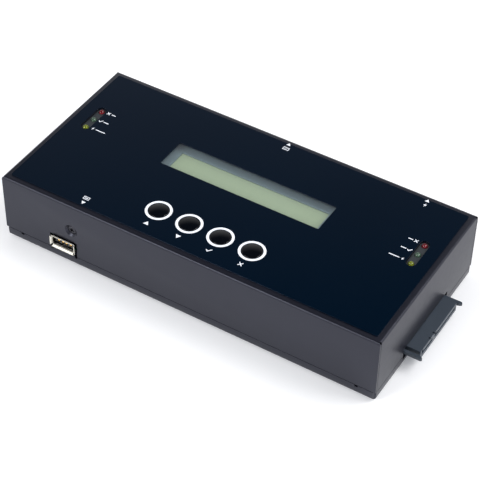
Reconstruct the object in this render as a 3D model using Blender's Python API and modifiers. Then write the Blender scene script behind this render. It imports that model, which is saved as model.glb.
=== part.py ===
"""Hard drive duplicator: a low case of folded steel with a drive connector in each end wall,
a character display, four push buttons and two rows of status lamps in its lid.

The model's frame has +X along the case to the right, +Y to the back and +Z up. Its origin is on
the surface that the rubber feet stand on, below the middle of the whole outline. The case frame,
in which the pieces are worked out, starts at the middle of the tray's underside.
"""

import math

import bmesh
import bpy
from mathutils import Matrix, Vector

# Case: a folded cover that closes over a shallow tray
CASE_LENGTH = 0.206
CASE_WIDTH = 0.098
CASE_HEIGHT = 0.0371
SHEET = 0.001
BEND_RADIUS = 0.0012
TRAY_WALL = 0.0048
SEAM_GAP = 0.0003
CORNER_GAP = 0.0003
CORNER_RELIEF = 0.0006

# Fits: the gap that a seated piece keeps, the glue under a stuck piece, and what a cutter overruns
SEAT = 0.0003
GLUE = 0.00015
OVERRUN = 0.001

# Tray: inner flanges behind the cover's long walls, with a taller tab at each case screw
FLANGE_RISE = 0.006
FLANGE_INSET = 0.0106
JOGGLE = 0.0012
RELIEF_WIDTH = 0.0016
RELIEF_DEPTH = 0.001
TAB_WIDTH = 0.020
TAB_MARGIN = 0.0045
TAB_CORNER = 0.002

# Feet, stuck under the tray
FOOT_RADIUS = 0.005
FOOT_HEIGHT = 0.0018
FOOT_INSET = 0.014
FOOT_ROUNDING = 0.0005

# Screws: countersunk ones hold the case, pan heads hold the boards
CASE_SCREW_HEAD = 0.0029
CASE_SCREW_SHANK = 0.0014
CASE_SCREW_LENGTH = 0.006
CASE_SCREW_SINK = 0.0003
FRONT_SCREW_OFFSET = 0.0051
REAR_SCREW_SPACING = 0.100
CASE_SCREW_HEIGHT = 0.0212
PAN_HEAD_RADIUS = 0.0026
PAN_HEAD_HEIGHT = 0.0018
PAN_SHANK_RADIUS = 0.0012
PAN_SHANK_LENGTH = 0.005

# Graphic overlay and the openings in the lid
OVERLAY_INSET = 0.0032
OVERLAY_THICKNESS = 0.0004
OVERLAY_CORNER = 0.001
WINDOW_LENGTH = 0.0880
WINDOW_WIDTH = 0.0175
WINDOW_CENTRE_Y = 0.0088
WINDOW_CORNER = 0.0003
LENS_MARGIN = 0.0015

# Push buttons
BUTTON_NAMES = ("up", "down", "ok", "esc")
BUTTON_PITCH = 0.0171
BUTTON_INSET = 0.0199
BUTTON_RADIUS = 0.00485
BUTTON_CLEARANCE = 0.00025
BUTTON_RISE = 0.0001
BUTTON_CROWN = 0.0009
BUTTON_CROWN_SHARES = (0, 0.4, 0.7, 0.9)
BUTTON_EDGE = 0.0002
BUTTON_TRAVEL = 0.0005
BUTTON_RIM = 0.001
BUTTON_RIM_THICKNESS = 0.0008
BUTTON_STEM_RADIUS = 0.0029

# Tactile switches under the buttons
SWITCH_SIDE = 0.006
SWITCH_HEIGHT = 0.0035
PLUNGER_RADIUS = 0.0017
PLUNGER_INSIDE = 0.001
PLUNGER_IN_STEM = 0.002
PLUNGER_TOP_BELOW_LID = 0.003

# Status lamps: a holder with three small lamps shows through a slot at each end of the lid
LAMP_NAMES = ("powered", "pass", "fail")
LAMP_PITCH = 0.0069
LAMP_INSET = 0.0122
LAMP_CENTRE_Y = 0.0104
LAMP_RADIUS = 0.0015
LAMP_CLEARANCE = 0.00015
LAMP_PROUD = 0.0002
LAMP_HEIGHT = 0.0053
LAMP_FLANGE = 0.0004
LAMP_FLANGE_HEIGHT = 0.001
LAMP_LEAD = 0.0005
LAMP_LEAD_SPACING = 0.00254
SLOT_WIDTH = 0.005
HOLDER_CLEARANCE = 0.0002
HOLDER_SHOULDER = 0.001
HOLDER_SINK = 0.0006

# Character display, some way under the window on the panel board
DISPLAY_DROP = 0.0024
DISPLAY_VIEW_LENGTH = 0.083
DISPLAY_VIEW_WIDTH = 0.0144
DISPLAY_LENGTH = 0.099
DISPLAY_WIDTH = 0.026
DISPLAY_GLASS = 0.0022
DISPLAY_FRAME_DEPTH = 0.0063
DISPLAY_FRAME_SHEET = 0.0006
DISPLAY_BOARD_LENGTH = 0.116
DISPLAY_BOARD_WIDTH = 0.037
DISPLAY_HOLE_RADIUS = 0.00125
DISPLAY_HOLE_INSET = 0.003
HEADER_LENGTH = 0.0406
HEADER_WIDTH = 0.0025
HEADER_HEIGHT = 0.0025
HEADER_EDGE_INSET = 0.0032

# Circuit boards
BOARD = 0.0016
MAIN_BOARD_HEIGHT = 0.00535
MAIN_BOARD_MARGIN_X = 0.008
MAIN_BOARD_MARGIN_Y = 0.0035
PANEL_MARGIN_X = 0.005
PANEL_FRONT_MARGIN = 0.008
PANEL_REAR_MARGIN = 0.0025
SCREW_HOLE_CLEARANCE = 0.0003
BOSS_INSET_X = 0.015
BOSS_INSET_Y = 0.012
BOSS_TOP_RADIUS = 0.0032
BOSS_FOOT_RADIUS = 0.0048
STUD_INSET_X = 0.014
STUD_FRONT_INSET = 0.012
STUD_TO_LAMP_HOLDER = 0.0035
STUD_RADIUS = 0.0025
CHIP_SIDE = 0.020
CHIP_HEIGHT = 0.0016
CHIP_CENTRE_Y = 0.012
RIBBON_WIDTH = 0.020
RIBBON_THICKNESS = 0.0008
RIBBON_SWEEP = 0.006
RIBBON_CENTRE_Y = -0.016

# Drive connectors: one in each end wall, straddling the end of the main board
DRIVE_BODY_WIDTH = 0.0372
DRIVE_BODY_HEIGHT = 0.0052
DRIVE_REACH = 0.0069
DRIVE_INSIDE = 0.007
DRIVE_SHOULDER = 0.0045
GUIDE_GAP = 0.0011
GUIDE_WIDTH = 0.0017
GUIDE_HEIGHT = 0.0018
GUIDE_BELOW_TOP = 0.0012
GUIDE_LEAD = 0.002
GUIDE_TIP = 0.0006
KEYWAY = 0.0014
KEYWAY_DEPTH = 0.0058
SIGNAL_KEYWAY = 0.0110
POWER_KEYWAY = 0.0212
KEYWAY_SPACING = 0.0024
KEY_LEG = 0.0027
SIGNAL_CONTACTS = 7
POWER_CONTACTS = 15
CONTACT_PITCH = 0.00127
CONTACT_GROOVE = 0.0006
CONTACT_GROOVE_DEPTH = 0.0004
CONTACT_LIP = 0.0006
BOARD_GRIP = 0.0033
BOARD_GRIP_WIDTH = 0.033
NOTCH_WIDTH = 0.0011
NOTCH_DEPTH = 0.0007
NOTCH_LENGTH = 0.0012
NOTCH_SPACING = 0.004
NOTCH_OFFSET = 0.0047
PORT_GAP = 0.0008

# USB port in the front wall
USB_INSET = 0.0347
USB_WIDTH = 0.0131
USB_HEIGHT = 0.0057
USB_WALL = 0.0003
USB_DEPTH = 0.0135
USB_LIP_WIDTH = 0.0150
USB_LIP_HEIGHT = 0.0072
USB_LIP_DEPTH = 0.0009
USB_PROUD = 0.0004
USB_CORNER = 0.0007
USB_CENTRE_ABOVE_BOARD = 0.0032
USB_TONGUE_WIDTH = 0.0110
USB_TONGUE_THICKNESS = 0.0019
USB_TONGUE_LENGTH = 0.0088
USB_TONGUE_LIFT = 0.0004
USB_BASE_LENGTH = 0.002
USB_TAB_NARROWING = 0.0012

# Serial port in the back wall
SERIAL_X = 0.002
SERIAL_FLANGE_WIDTH = 0.0308
SERIAL_FLANGE_HEIGHT = 0.0125
SERIAL_FLANGE_SHEET = 0.0008
SERIAL_SHELL_WIDTH = 0.0169
SERIAL_SHELL_HEIGHT = 0.0084
SERIAL_SHELL_WALL = 0.0005
SERIAL_SHELL_CORNER = 0.0022
SERIAL_SLANT = math.radians(10)
SERIAL_REACH = 0.0059
SERIAL_BLOCK_DEPTH = 0.009
SERIAL_HOLE_RADIUS = 0.0006
SERIAL_HOLE_DEPTH = 0.006
SERIAL_HOLE_PITCH = 0.00277
SERIAL_ROW_SPACING = 0.00284
JACKSCREW_SPACING = 0.025
JACKSCREW_ACROSS = 0.0048
JACKSCREW_HEX_LENGTH = 0.005
JACKSCREW_SHANK = 0.0013
JACKSCREW_SHANK_LENGTH = 0.007
JACKSCREW_BORE = 0.0010

# Power jack in the back wall
POWER_INSET = 0.0247
POWER_BODY_WIDTH = 0.009
POWER_BODY_HEIGHT = 0.011
POWER_BODY_DEPTH = 0.0135
POWER_COLLAR_RADIUS = 0.0040
POWER_BORE_RADIUS = 0.0032
POWER_BORE_DEPTH = 0.0095
POWER_PIN_RADIUS = 0.001
POWER_PIN_LENGTH = 0.0085

# Facets round a circle and along a fold, and the angle from which an edge is shaded sharp
ROUND_SIDES = 24
SMALL_SIDES = 12
FOLD_STEPS = 3
SHARP_ANGLE = math.radians(35)

# Heights and places that follow from the sizes above
HALF_LENGTH = CASE_LENGTH / 2
HALF_WIDTH = CASE_WIDTH / 2
LID_UNDERSIDE = CASE_HEIGHT - SHEET
OVERLAY_BOTTOM = CASE_HEIGHT + GLUE
OVERLAY_TOP = OVERLAY_BOTTOM + OVERLAY_THICKNESS
MAIN_BOARD_TOP = MAIN_BOARD_HEIGHT + BOARD
FRAME_TOP = LID_UNDERSIDE - DISPLAY_DROP
GLASS_TOP = FRAME_TOP - DISPLAY_FRAME_SHEET - SEAT
DISPLAY_BOARD_TOP = FRAME_TOP - DISPLAY_FRAME_DEPTH - SEAT
DISPLAY_BOARD_BOTTOM = DISPLAY_BOARD_TOP - BOARD
PANEL_TOP = DISPLAY_BOARD_BOTTOM - 2 * SEAT - HEADER_HEIGHT
PANEL_BOTTOM = PANEL_TOP - BOARD
DRIVE_HEIGHT = MAIN_BOARD_HEIGHT + BOARD / 2
DRIVE_SPAN = DRIVE_BODY_WIDTH + 2 * (GUIDE_GAP + GUIDE_WIDTH)
USB_X = -HALF_LENGTH + USB_INSET
USB_HEIGHT_ABOVE_TRAY = MAIN_BOARD_TOP + USB_CENTRE_ABOVE_BOARD
SERIAL_HEIGHT = MAIN_BOARD_TOP + SEAT + SERIAL_FLANGE_HEIGHT / 2
POWER_X = HALF_LENGTH - POWER_INSET
POWER_HEIGHT = MAIN_BOARD_TOP + SEAT + POWER_BODY_HEIGHT / 2
WALL_INSIDE = HALF_WIDTH - SHEET
FLANGE_FACE = HALF_WIDTH - SHEET - SEAT
FLANGE_INNER = FLANGE_FACE - SHEET
FLANGE_TOP = TRAY_WALL + FLANGE_RISE
BUTTON_Y = -HALF_WIDTH + BUTTON_INSET
BUTTON_HOLE_RADIUS = BUTTON_RADIUS + BUTTON_CLEARANCE
LAMP_X = HALF_LENGTH - LAMP_INSET
SLOT_LENGTH = (len(LAMP_NAMES) - 1) * LAMP_PITCH + SLOT_WIDTH
HOLDER_REAR = LAMP_CENTRE_Y + SLOT_LENGTH / 2 + HOLDER_SHOULDER
STUD_FRONT_Y = -HALF_WIDTH + STUD_FRONT_INSET
STUD_REAR_Y = HOLDER_REAR + STUD_TO_LAMP_HOLDER + STUD_RADIUS
PANEL_FRONT = -HALF_WIDTH + PANEL_FRONT_MARGIN
PANEL_REAR = STUD_REAR_Y + STUD_RADIUS + PANEL_REAR_MARGIN
FRONT_SCREW_X = USB_X + FRONT_SCREW_OFFSET
FRONT_REACH = HALF_WIDTH + USB_PROUD
REAR_REACH = HALF_WIDTH + SERIAL_REACH
CASE_CENTRE_Y = (FRONT_REACH - REAR_REACH) / 2

# Turns that stand a flat outline against a wall: outline X and Y become the wall's own
AGAINST_FRONT = Matrix.Rotation(math.radians(90), 4, "X")
AGAINST_END = Matrix(((0, 0, 1, 0), (1, 0, 0, 0), (0, 1, 0, 0), (0, 0, 0, 1)))
HALF_TURN = math.pi


# Scene, collections and finishes

def clear_scene():
    """Removes whatever the file held, so the model stands alone."""
    for obj in list(bpy.data.objects):
        bpy.data.objects.remove(obj)


def new_collection(name, parent):
    collection = bpy.data.collections.new(name)
    parent.children.link(collection)
    return collection


clear_scene()
PRODUCT = new_collection("hard_drive_duplicator", bpy.context.scene.collection)
CUTTERS = new_collection("cutters", bpy.context.scene.collection)
CASE_FRAME = bpy.data.objects.new("case_frame", None)
CASE_FRAME.location = (0, CASE_CENTRE_Y, FOOT_HEIGHT)
PRODUCT.objects.link(CASE_FRAME)

# A scene of its own in which shapes are worked out, so that each one is evaluated alone
WORKSHOP = bpy.data.scenes.new("workshop")


def finish(name, colour, roughness, metallic=0.0, alpha=1.0):
    """A material with one Principled BSDF."""
    material = bpy.data.materials.new(name)
    material.use_nodes = True
    shader = material.node_tree.nodes["Principled BSDF"]
    shader.inputs["Base Color"].default_value = (*colour, 1.0)
    shader.inputs["Roughness"].default_value = roughness
    shader.inputs["Metallic"].default_value = metallic
    shader.inputs["Alpha"].default_value = alpha
    return material


POWDER_COAT = finish("black_powder_coat", (0.035, 0.036, 0.042), 0.55)
OVERLAY_PRINT = finish("printed_overlay", (0.006, 0.009, 0.018), 0.16)
CLEAR_LENS = finish("clear_lens", (0.75, 0.80, 0.82), 0.08, alpha=0.35)
DISPLAY_METAL = finish("display_frame_metal", (0.10, 0.11, 0.12), 0.45, 0.6)
DISPLAY_GREEN = finish("display_green", (0.42, 0.50, 0.27), 0.30)
WHITE_PLASTIC = finish("white_plastic", (0.75, 0.75, 0.70), 0.45)
BLACK_PLASTIC = finish("black_plastic", (0.012, 0.013, 0.016), 0.30)
GREY_PLASTIC = finish("grey_plastic", (0.06, 0.07, 0.08), 0.50)
BOARD_GREEN = finish("board_green", (0.01, 0.10, 0.04), 0.40)
STEEL = finish("bright_steel", (0.70, 0.69, 0.66), 0.25, 1.0)
BLACK_STEEL = finish("black_steel", (0.03, 0.03, 0.032), 0.40, 0.5)
RUBBER = finish("black_rubber", (0.015, 0.015, 0.015), 0.85)
RIBBON_GREY = finish("ribbon_grey", (0.35, 0.35, 0.36), 0.60)
LAMP_COLOURS = {
    "fail": finish("red_lamp", (0.40, 0.03, 0.03), 0.12),
    "pass": finish("green_lamp", (0.20, 0.32, 0.22), 0.12),
    "powered": finish("yellow_green_lamp", (0.35, 0.42, 0.06), 0.12),
}


# Meshes: each function returns a mesh, which piece() turns into an object

def mesh_of(bm):
    mesh = bpy.data.meshes.new("shape")
    bm.to_mesh(mesh)
    bm.free()
    return mesh


def placed(mesh, turn=Matrix.Identity(4), at=(0, 0, 0)):
    """The mesh turned and then moved."""
    mesh.transform(Matrix.Translation(at) @ turn)
    return mesh


def block(low, high, radius=0, chosen=None):
    """A box between two corners. Its edges for which chosen(middle, direction) holds are rounded."""
    low, high = Vector(low), Vector(high)
    bm = bmesh.new()
    bmesh.ops.create_cube(bm, size=1)
    bmesh.ops.scale(bm, vec=high - low, verts=bm.verts)
    bmesh.ops.translate(bm, vec=(low + high) / 2, verts=bm.verts)
    if radius:
        edges = []
        for edge in bm.edges:
            first, second = (vert.co for vert in edge.verts)
            share = [(m - a) / (b - a) for m, a, b in zip((first + second) / 2, low, high)]
            if chosen is None or chosen(share):
                edges.append(edge)
        bmesh.ops.bevel(bm, geom=edges, offset=radius, segments=FOLD_STEPS, profile=0.5,
                        affect="EDGES", clamp_overlap=True)
    return mesh_of(bm)


# An edge's middle as shares of its box: halfway along its own direction, and at a face in the others
def at_top(share):
    return share[2] > 0.9


def at_bottom(share):
    return share[2] < 0.1


def upright(share):
    return 0.1 < share[2] < 0.9


def rod(radius, low, high, sides=ROUND_SIDES, top_radius=None):
    """A cylinder or cone about Z, from one height to another."""
    bm = bmesh.new()
    bmesh.ops.create_cone(bm, cap_ends=True, segments=sides, radius1=radius,
                          radius2=radius if top_radius is None else top_radius, depth=high - low)
    bmesh.ops.translate(bm, vec=(0, 0, (low + high) / 2), verts=bm.verts)
    return mesh_of(bm)


def evaluated_mesh(data, modify=None):
    """The mesh of a curve or of a profile with its modifier, with doubled points welded."""
    obj = bpy.data.objects.new("shape", data)
    WORKSHOP.collection.objects.link(obj)
    if modify:
        modify(obj)
    layer = WORKSHOP.view_layers[0]
    layer.update()
    mesh = bpy.data.meshes.new_from_object(obj.evaluated_get(layer.depsgraph))
    bpy.data.objects.remove(obj)
    bm = bmesh.new()
    bm.from_mesh(mesh)
    bmesh.ops.remove_doubles(bm, verts=bm.verts, dist=SEAT / 100)
    bmesh.ops.recalc_face_normals(bm, faces=bm.faces)
    return mesh_of(bm)


def plate(outline, low, high):
    """A flat outline given thickness between two heights."""
    curve = bpy.data.curves.new("outline", "CURVE")
    curve.dimensions = "2D"
    curve.fill_mode = "BOTH"
    curve.extrude = (high - low) / 2
    spline = curve.splines.new("POLY")
    spline.points.add(len(outline) - 1)
    for point, (x, y) in zip(spline.points, outline):
        point.co = (x, y, 0, 1)
    spline.use_cyclic_u = True
    return placed(evaluated_mesh(curve), at=(0, 0, (low + high) / 2))


def turned(profile, sides=ROUND_SIDES):
    """A profile of (radius, height) points, from top to bottom, turned about Z."""
    mesh = bpy.data.meshes.new("profile")
    points = [(radius, 0, height) for radius, height in profile]
    mesh.from_pydata(points, [(i, i + 1) for i in range(len(points) - 1)], [])

    def spin(obj):
        screw = obj.modifiers.new("turn", "SCREW")
        screw.steps = screw.render_steps = sides
        screw.use_merge_vertices = True
        screw.merge_threshold = SEAT / 100

    return evaluated_mesh(mesh, spin)


def arc(centre, radius, start, end, steps):
    """Points on an arc from one angle to another, both in degrees."""
    points = []
    for i in range(steps + 1):
        angle = math.radians(start + (end - start) * i / steps)
        points.append((centre[0] + radius * math.cos(angle), centre[1] + radius * math.sin(angle)))
    return points


def rounded_rectangle(length, width, radius, centre=(0, 0), steps=FOLD_STEPS):
    """Outline of a rectangle with round corners."""
    points = []
    for turn, (side_x, side_y) in enumerate(((1, 1), (-1, 1), (-1, -1), (1, -1))):
        corner = (centre[0] + side_x * (length / 2 - radius), centre[1] + side_y * (width / 2 - radius))
        points += arc(corner, radius, 90 * turn, 90 * turn + 90, steps)
    return points


def stadium(length, width, centre=(0, 0), steps=SMALL_SIDES // 2):
    """Outline of a slot that runs along Y, with round ends."""
    reach = (length - width) / 2
    top = arc((centre[0], centre[1] + reach), width / 2, 0, 180, steps)
    bottom = arc((centre[0], centre[1] - reach), width / 2, 180, 360, steps)
    return top + bottom


def loft(sections):
    """A closed skin over a ring of sections, each a list of points of the same number."""
    bm = bmesh.new()
    rings = [[bm.verts.new(point) for point in section] for section in sections]
    count = len(rings[0])
    for ring, following in zip(rings, rings[1:] + rings[:1]):
        for i in range(count):
            j = (i + 1) % count
            bm.faces.new((ring[i], ring[j], following[j], following[i]))
    bmesh.ops.recalc_face_normals(bm, faces=bm.faces)
    return mesh_of(bm)


# Objects

def smooth_by_angle():
    """A modifier's node group: smooth faces, with every edge past the sharp angle kept sharp."""
    group = bpy.data.node_groups.new("smooth_by_angle", "GeometryNodeTree")
    group.is_modifier = True
    for direction in ("INPUT", "OUTPUT"):
        group.interface.new_socket("Geometry", in_out=direction, socket_type="NodeSocketGeometry")
    start, end = group.nodes.new("NodeGroupInput"), group.nodes.new("NodeGroupOutput")
    faces = group.nodes.new("GeometryNodeSetShadeSmooth")
    edges = group.nodes.new("GeometryNodeSetShadeSmooth")
    edges.domain = "EDGE"
    edges.inputs["Shade Smooth"].default_value = False
    angle = group.nodes.new("GeometryNodeInputMeshEdgeAngle")
    sharper = group.nodes.new("FunctionNodeCompare")
    sharper.inputs["B"].default_value = SHARP_ANGLE
    group.links.new(angle.outputs["Unsigned Angle"], sharper.inputs["A"])
    group.links.new(sharper.outputs["Result"], edges.inputs["Selection"])
    group.links.new(start.outputs["Geometry"], faces.inputs["Geometry"])
    group.links.new(faces.outputs["Geometry"], edges.inputs["Geometry"])
    group.links.new(edges.outputs["Geometry"], end.inputs["Geometry"])
    return group


SMOOTH_BY_ANGLE = smooth_by_angle()


def helper(name, mesh, group, parent, location, turn):
    """A hidden shape that a piece is joined with or cut by."""
    obj = bpy.data.objects.new(name, mesh)
    obj.parent = parent
    obj.location = location
    obj.rotation_euler = turn
    obj.hide_render = True
    obj.display_type = "WIRE"
    group.objects.link(obj)
    return obj


def piece(name, mesh, material, at=(0, 0, 0), turn=(0, 0, 0), joined=(), cut=()):
    """One sub-part: a mesh, joined with some shapes and then cut by others, in the case frame."""
    mesh.name = name
    obj = bpy.data.objects.new(name, mesh)
    obj.parent = CASE_FRAME
    obj.location = at
    obj.rotation_euler = turn
    obj.data.materials.append(material)
    PRODUCT.objects.link(obj)
    for operation, shapes in (("UNION", joined), ("DIFFERENCE", cut)):
        if not shapes:
            continue
        group = new_collection(f"{name}_{operation.lower()}", CUTTERS)
        for i, shape in enumerate(shapes):
            helper(f"{name}_{operation.lower()}_{i}", shape, group, CASE_FRAME, at, turn)
        boolean = obj.modifiers.new(operation.lower(), "BOOLEAN")
        boolean.operation = operation
        boolean.solver = "EXACT"
        boolean.operand_type = "COLLECTION"
        boolean.collection = group
    smoothing = obj.modifiers.new("smooth_by_angle", "NODES")
    smoothing.node_group = SMOOTH_BY_ANGLE
    return obj


# Shapes that more than one piece needs

CORNER_NAMES = ("front_left", "front_right", "rear_left", "rear_right")


def mirrored_places(x, y):
    """The four places at plus and minus x and y, in the order of the corners' names."""
    return [(side_x * x, side_y * y) for side_y in (-1, 1) for side_x in (-1, 1)]


def stud_places():
    x = HALF_LENGTH - STUD_INSET_X
    return [(-x, STUD_FRONT_Y), (x, STUD_FRONT_Y), (-x, STUD_REAR_Y), (x, STUD_REAR_Y)]


def boss_places():
    return mirrored_places(HALF_LENGTH - BOSS_INSET_X, HALF_WIDTH - BOSS_INSET_Y)


def button_places():
    middle = (len(BUTTON_NAMES) - 1) / 2
    return [((i - middle) * BUTTON_PITCH, BUTTON_Y) for i in range(len(BUTTON_NAMES))]


def rear_screw_places():
    return [-REAR_SCREW_SPACING / 2, REAR_SCREW_SPACING / 2]


def serial_outline(grow):
    """The D of the serial port, grown by a margin: wide above, with both sides leaning in."""
    half_height = SERIAL_SHELL_HEIGHT / 2 + grow
    lean = half_height * math.tan(SERIAL_SLANT)
    top = SERIAL_SHELL_WIDTH / 2 + grow
    corner = SERIAL_SHELL_CORNER + grow
    tilt = math.degrees(SERIAL_SLANT)
    points = []
    for side, start, end in ((1, -tilt, 90), (-1, 90, 180 + tilt)):
        points += arc((side * (top - corner), half_height - corner), corner, start, end, 4)
    low = top - 2 * lean
    for side, start, end in ((-1, 180 + tilt, 270), (1, 270, 360 - tilt)):
        points += arc((side * (low - corner), -half_height + corner), corner, start, end, 4)
    return points


# Case

def corner_slits():
    """The seam beside each upright edge, where an end wall butts behind a long wall."""
    slits = []
    for side_x in (-1, 1):
        for side_y in (-1, 1):
            ends = sorted((side_x * (HALF_LENGTH - SHEET - OVERRUN), side_x * (HALF_LENGTH + OVERRUN)))
            sides = sorted((side_y * (WALL_INSIDE - CORNER_GAP), side_y * WALL_INSIDE))
            slit_top = CASE_HEIGHT - BEND_RADIUS
            slits.append(block((ends[0], sides[0], -OVERRUN), (ends[1], sides[1], slit_top)))
            relief_x = side_x * (HALF_LENGTH - CORNER_RELIEF)
            relief_y = side_y * (WALL_INSIDE - CORNER_GAP / 2)
            relief = rod(CORNER_RELIEF, slit_top - CORNER_RELIEF, CASE_HEIGHT + OVERRUN, SMALL_SIDES)
            slits.append(placed(relief, at=(relief_x, relief_y, 0)))
    return slits


def case_screw_hole(x, side):
    """A countersink through a long wall; side is -1 at the front and 1 at the back."""
    head = CASE_SCREW_HEAD + SEAT
    shank = CASE_SCREW_SHANK + SEAT
    depth = -2 * SHEET - SEAT - OVERRUN
    profile = [(0, OVERRUN), (head + CASE_SCREW_SINK, OVERRUN), (head + CASE_SCREW_SINK, 0),
               (head, -CASE_SCREW_SINK), (shank, -CASE_SCREW_SINK - (head - shank)),
               (shank, depth), (0, depth)]
    lean = Matrix.Rotation(-side * math.radians(90), 4, "X")
    return placed(turned(profile), lean, (x, side * HALF_WIDTH, CASE_SCREW_HEIGHT))


def drive_cutout():
    """The opening in both end walls that the drive connectors come through."""
    half_height = DRIVE_BODY_HEIGHT / 2 + PORT_GAP
    half_width = DRIVE_SPAN / 2 + PORT_GAP
    return block((-HALF_LENGTH - OVERRUN, -half_width, DRIVE_HEIGHT - half_height),
                 (HALF_LENGTH + OVERRUN, half_width, DRIVE_HEIGHT + half_height))


def serial_cutout():
    """The D-shaped opening and the two jackscrew holes in the back wall."""
    depth = (HALF_WIDTH - SHEET - OVERRUN, HALF_WIDTH + OVERRUN)
    back = (SERIAL_X, 0, SERIAL_HEIGHT)
    shapes = [placed(plate(serial_outline(PORT_GAP), -depth[1], -depth[0]), AGAINST_FRONT, back)]
    for side in (-1, 1):
        hole = rod(JACKSCREW_SHANK + SEAT, -depth[1], -depth[0], SMALL_SIDES)
        x = SERIAL_X + side * JACKSCREW_SPACING / 2
        shapes.append(placed(hole, AGAINST_FRONT, (x, 0, SERIAL_HEIGHT)))
    return shapes


def usb_cutout(low, depth):
    """The opening for the USB port, from a height up to just above its lip."""
    half = USB_LIP_WIDTH / 2 + SEAT
    return block((USB_X - half, -HALF_WIDTH - OVERRUN, low),
                 (USB_X + half, -HALF_WIDTH + depth, USB_HEIGHT_ABOVE_TRAY + USB_LIP_HEIGHT / 2 + SEAT))


def lid_openings():
    """Display, button and lamp openings, through the lid's sheet."""
    low, high = LID_UNDERSIDE - OVERRUN, CASE_HEIGHT + OVERRUN
    window = rounded_rectangle(WINDOW_LENGTH + 2 * LENS_MARGIN, WINDOW_WIDTH + 2 * LENS_MARGIN,
                               LENS_MARGIN, (0, WINDOW_CENTRE_Y))
    shapes = [plate(window, low, high)]
    for x, y in button_places():
        shapes.append(placed(rod(BUTTON_HOLE_RADIUS, low, high), at=(x, y, 0)))
    for side in (-1, 1):
        shapes.append(plate(stadium(SLOT_LENGTH, SLOT_WIDTH, (side * LAMP_X, LAMP_CENTRE_Y)), low, high))
    return shapes


def stud_shapes():
    """Clinched threaded studs that hang the panel board from the lid."""
    low, high = PANEL_TOP + SEAT, LID_UNDERSIDE + SHEET / 2
    return [placed(rod(STUD_RADIUS, low, high, SMALL_SIDES), at=(x, y, 0)) for x, y in stud_places()]


def stud_bores():
    low, high = PANEL_TOP, PANEL_TOP + SEAT + PAN_SHANK_LENGTH
    bore = PAN_SHANK_RADIUS + SCREW_HOLE_CLEARANCE
    return [placed(rod(bore, low, high, SMALL_SIDES), at=(x, y, 0)) for x, y in stud_places()]


def make_cover():
    """The folded cover: a lid and four walls, open below and slit at its four upright edges."""
    bottom = TRAY_WALL + SEAM_GAP
    outside = block((-HALF_LENGTH, -HALF_WIDTH, bottom), (HALF_LENGTH, HALF_WIDTH, CASE_HEIGHT),
                    BEND_RADIUS, at_top)
    inside = block((-HALF_LENGTH + SHEET, -WALL_INSIDE, bottom - OVERRUN),
                   (HALF_LENGTH - SHEET, WALL_INSIDE, LID_UNDERSIDE), BEND_RADIUS - SHEET, at_top)
    power_hole = rod(POWER_COLLAR_RADIUS + SEAT, -HALF_WIDTH - OVERRUN, -WALL_INSIDE + OVERRUN)
    cuts = [*corner_slits(), *lid_openings(), *serial_cutout(), drive_cutout(),
            usb_cutout(bottom - OVERRUN, SHEET + OVERRUN), case_screw_hole(FRONT_SCREW_X, -1),
            placed(power_hole, AGAINST_FRONT, (POWER_X, 0, POWER_HEIGHT)), *stud_bores()]
    cuts += [case_screw_hole(x, 1) for x in rear_screw_places()]
    shell = hollowed(outside, inside)
    piece("top_cover", shell, POWDER_COAT, joined=stud_shapes(), cut=cuts)


def hollowed(outside, inside):
    """One mesh with another taken out of it."""
    cutter = bpy.data.objects.new("hollow", inside)
    WORKSHOP.collection.objects.link(cutter)

    def subtract(obj):
        boolean = obj.modifiers.new("hollow", "BOOLEAN")
        boolean.operation = "DIFFERENCE"
        boolean.solver = "EXACT"
        boolean.object = cutter

    mesh = evaluated_mesh(outside, subtract)
    bpy.data.objects.remove(cutter)
    return mesh


def flange_strip(side, length):
    """The inner flange: it joggles in behind the cover's wall and stands up along it."""
    wall = HALF_WIDTH - SHEET / 2
    low = TRAY_WALL - JOGGLE
    profile = [(wall, low - SHEET), (wall, low), (FLANGE_FACE, low + SEAT + SHEET / 2),
               (FLANGE_FACE, FLANGE_TOP), (FLANGE_INNER, FLANGE_TOP), (FLANGE_INNER, low - SHEET / 2)]
    strip = plate([(side * u, z) for u, z in profile], -length / 2, length / 2)
    return placed(strip, AGAINST_END)


def screw_tab(x, side):
    """A taller tab on the inner flange, which a case screw goes through."""
    half = TAB_WIDTH / 2
    near, far = sorted((side * FLANGE_INNER, side * FLANGE_FACE))
    low, high = FLANGE_TOP - SHEET, CASE_SCREW_HEIGHT + TAB_MARGIN
    return block((x - half, near, low), (x + half, far, high), TAB_CORNER,
                 lambda share: at_top(share) and 0.1 < share[1] < 0.9)


def boss_shapes():
    """Embossed bosses that carry the main board: a cone on the tray's sheet, hollow from below."""
    top = MAIN_BOARD_HEIGHT - SEAT
    return [placed(rod(BOSS_FOOT_RADIUS, SHEET / 2, top, SMALL_SIDES, BOSS_TOP_RADIUS), at=(x, y, 0))
            for x, y in boss_places()]


def boss_hollows():
    """The dimple under each boss, and its tapped hole."""
    top = MAIN_BOARD_HEIGHT - SEAT
    shapes = []
    for x, y in boss_places():
        dimple = rod(BOSS_FOOT_RADIUS - SHEET / 2, -OVERRUN, top - SHEET, SMALL_SIDES,
                     BOSS_TOP_RADIUS - SHEET)
        hole = rod(PAN_SHANK_RADIUS + SCREW_HOLE_CLEARANCE, 0, top + OVERRUN, SMALL_SIDES)
        shapes += [placed(dimple, at=(x, y, 0)), placed(hole, at=(x, y, 0))]
    return shapes


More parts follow.
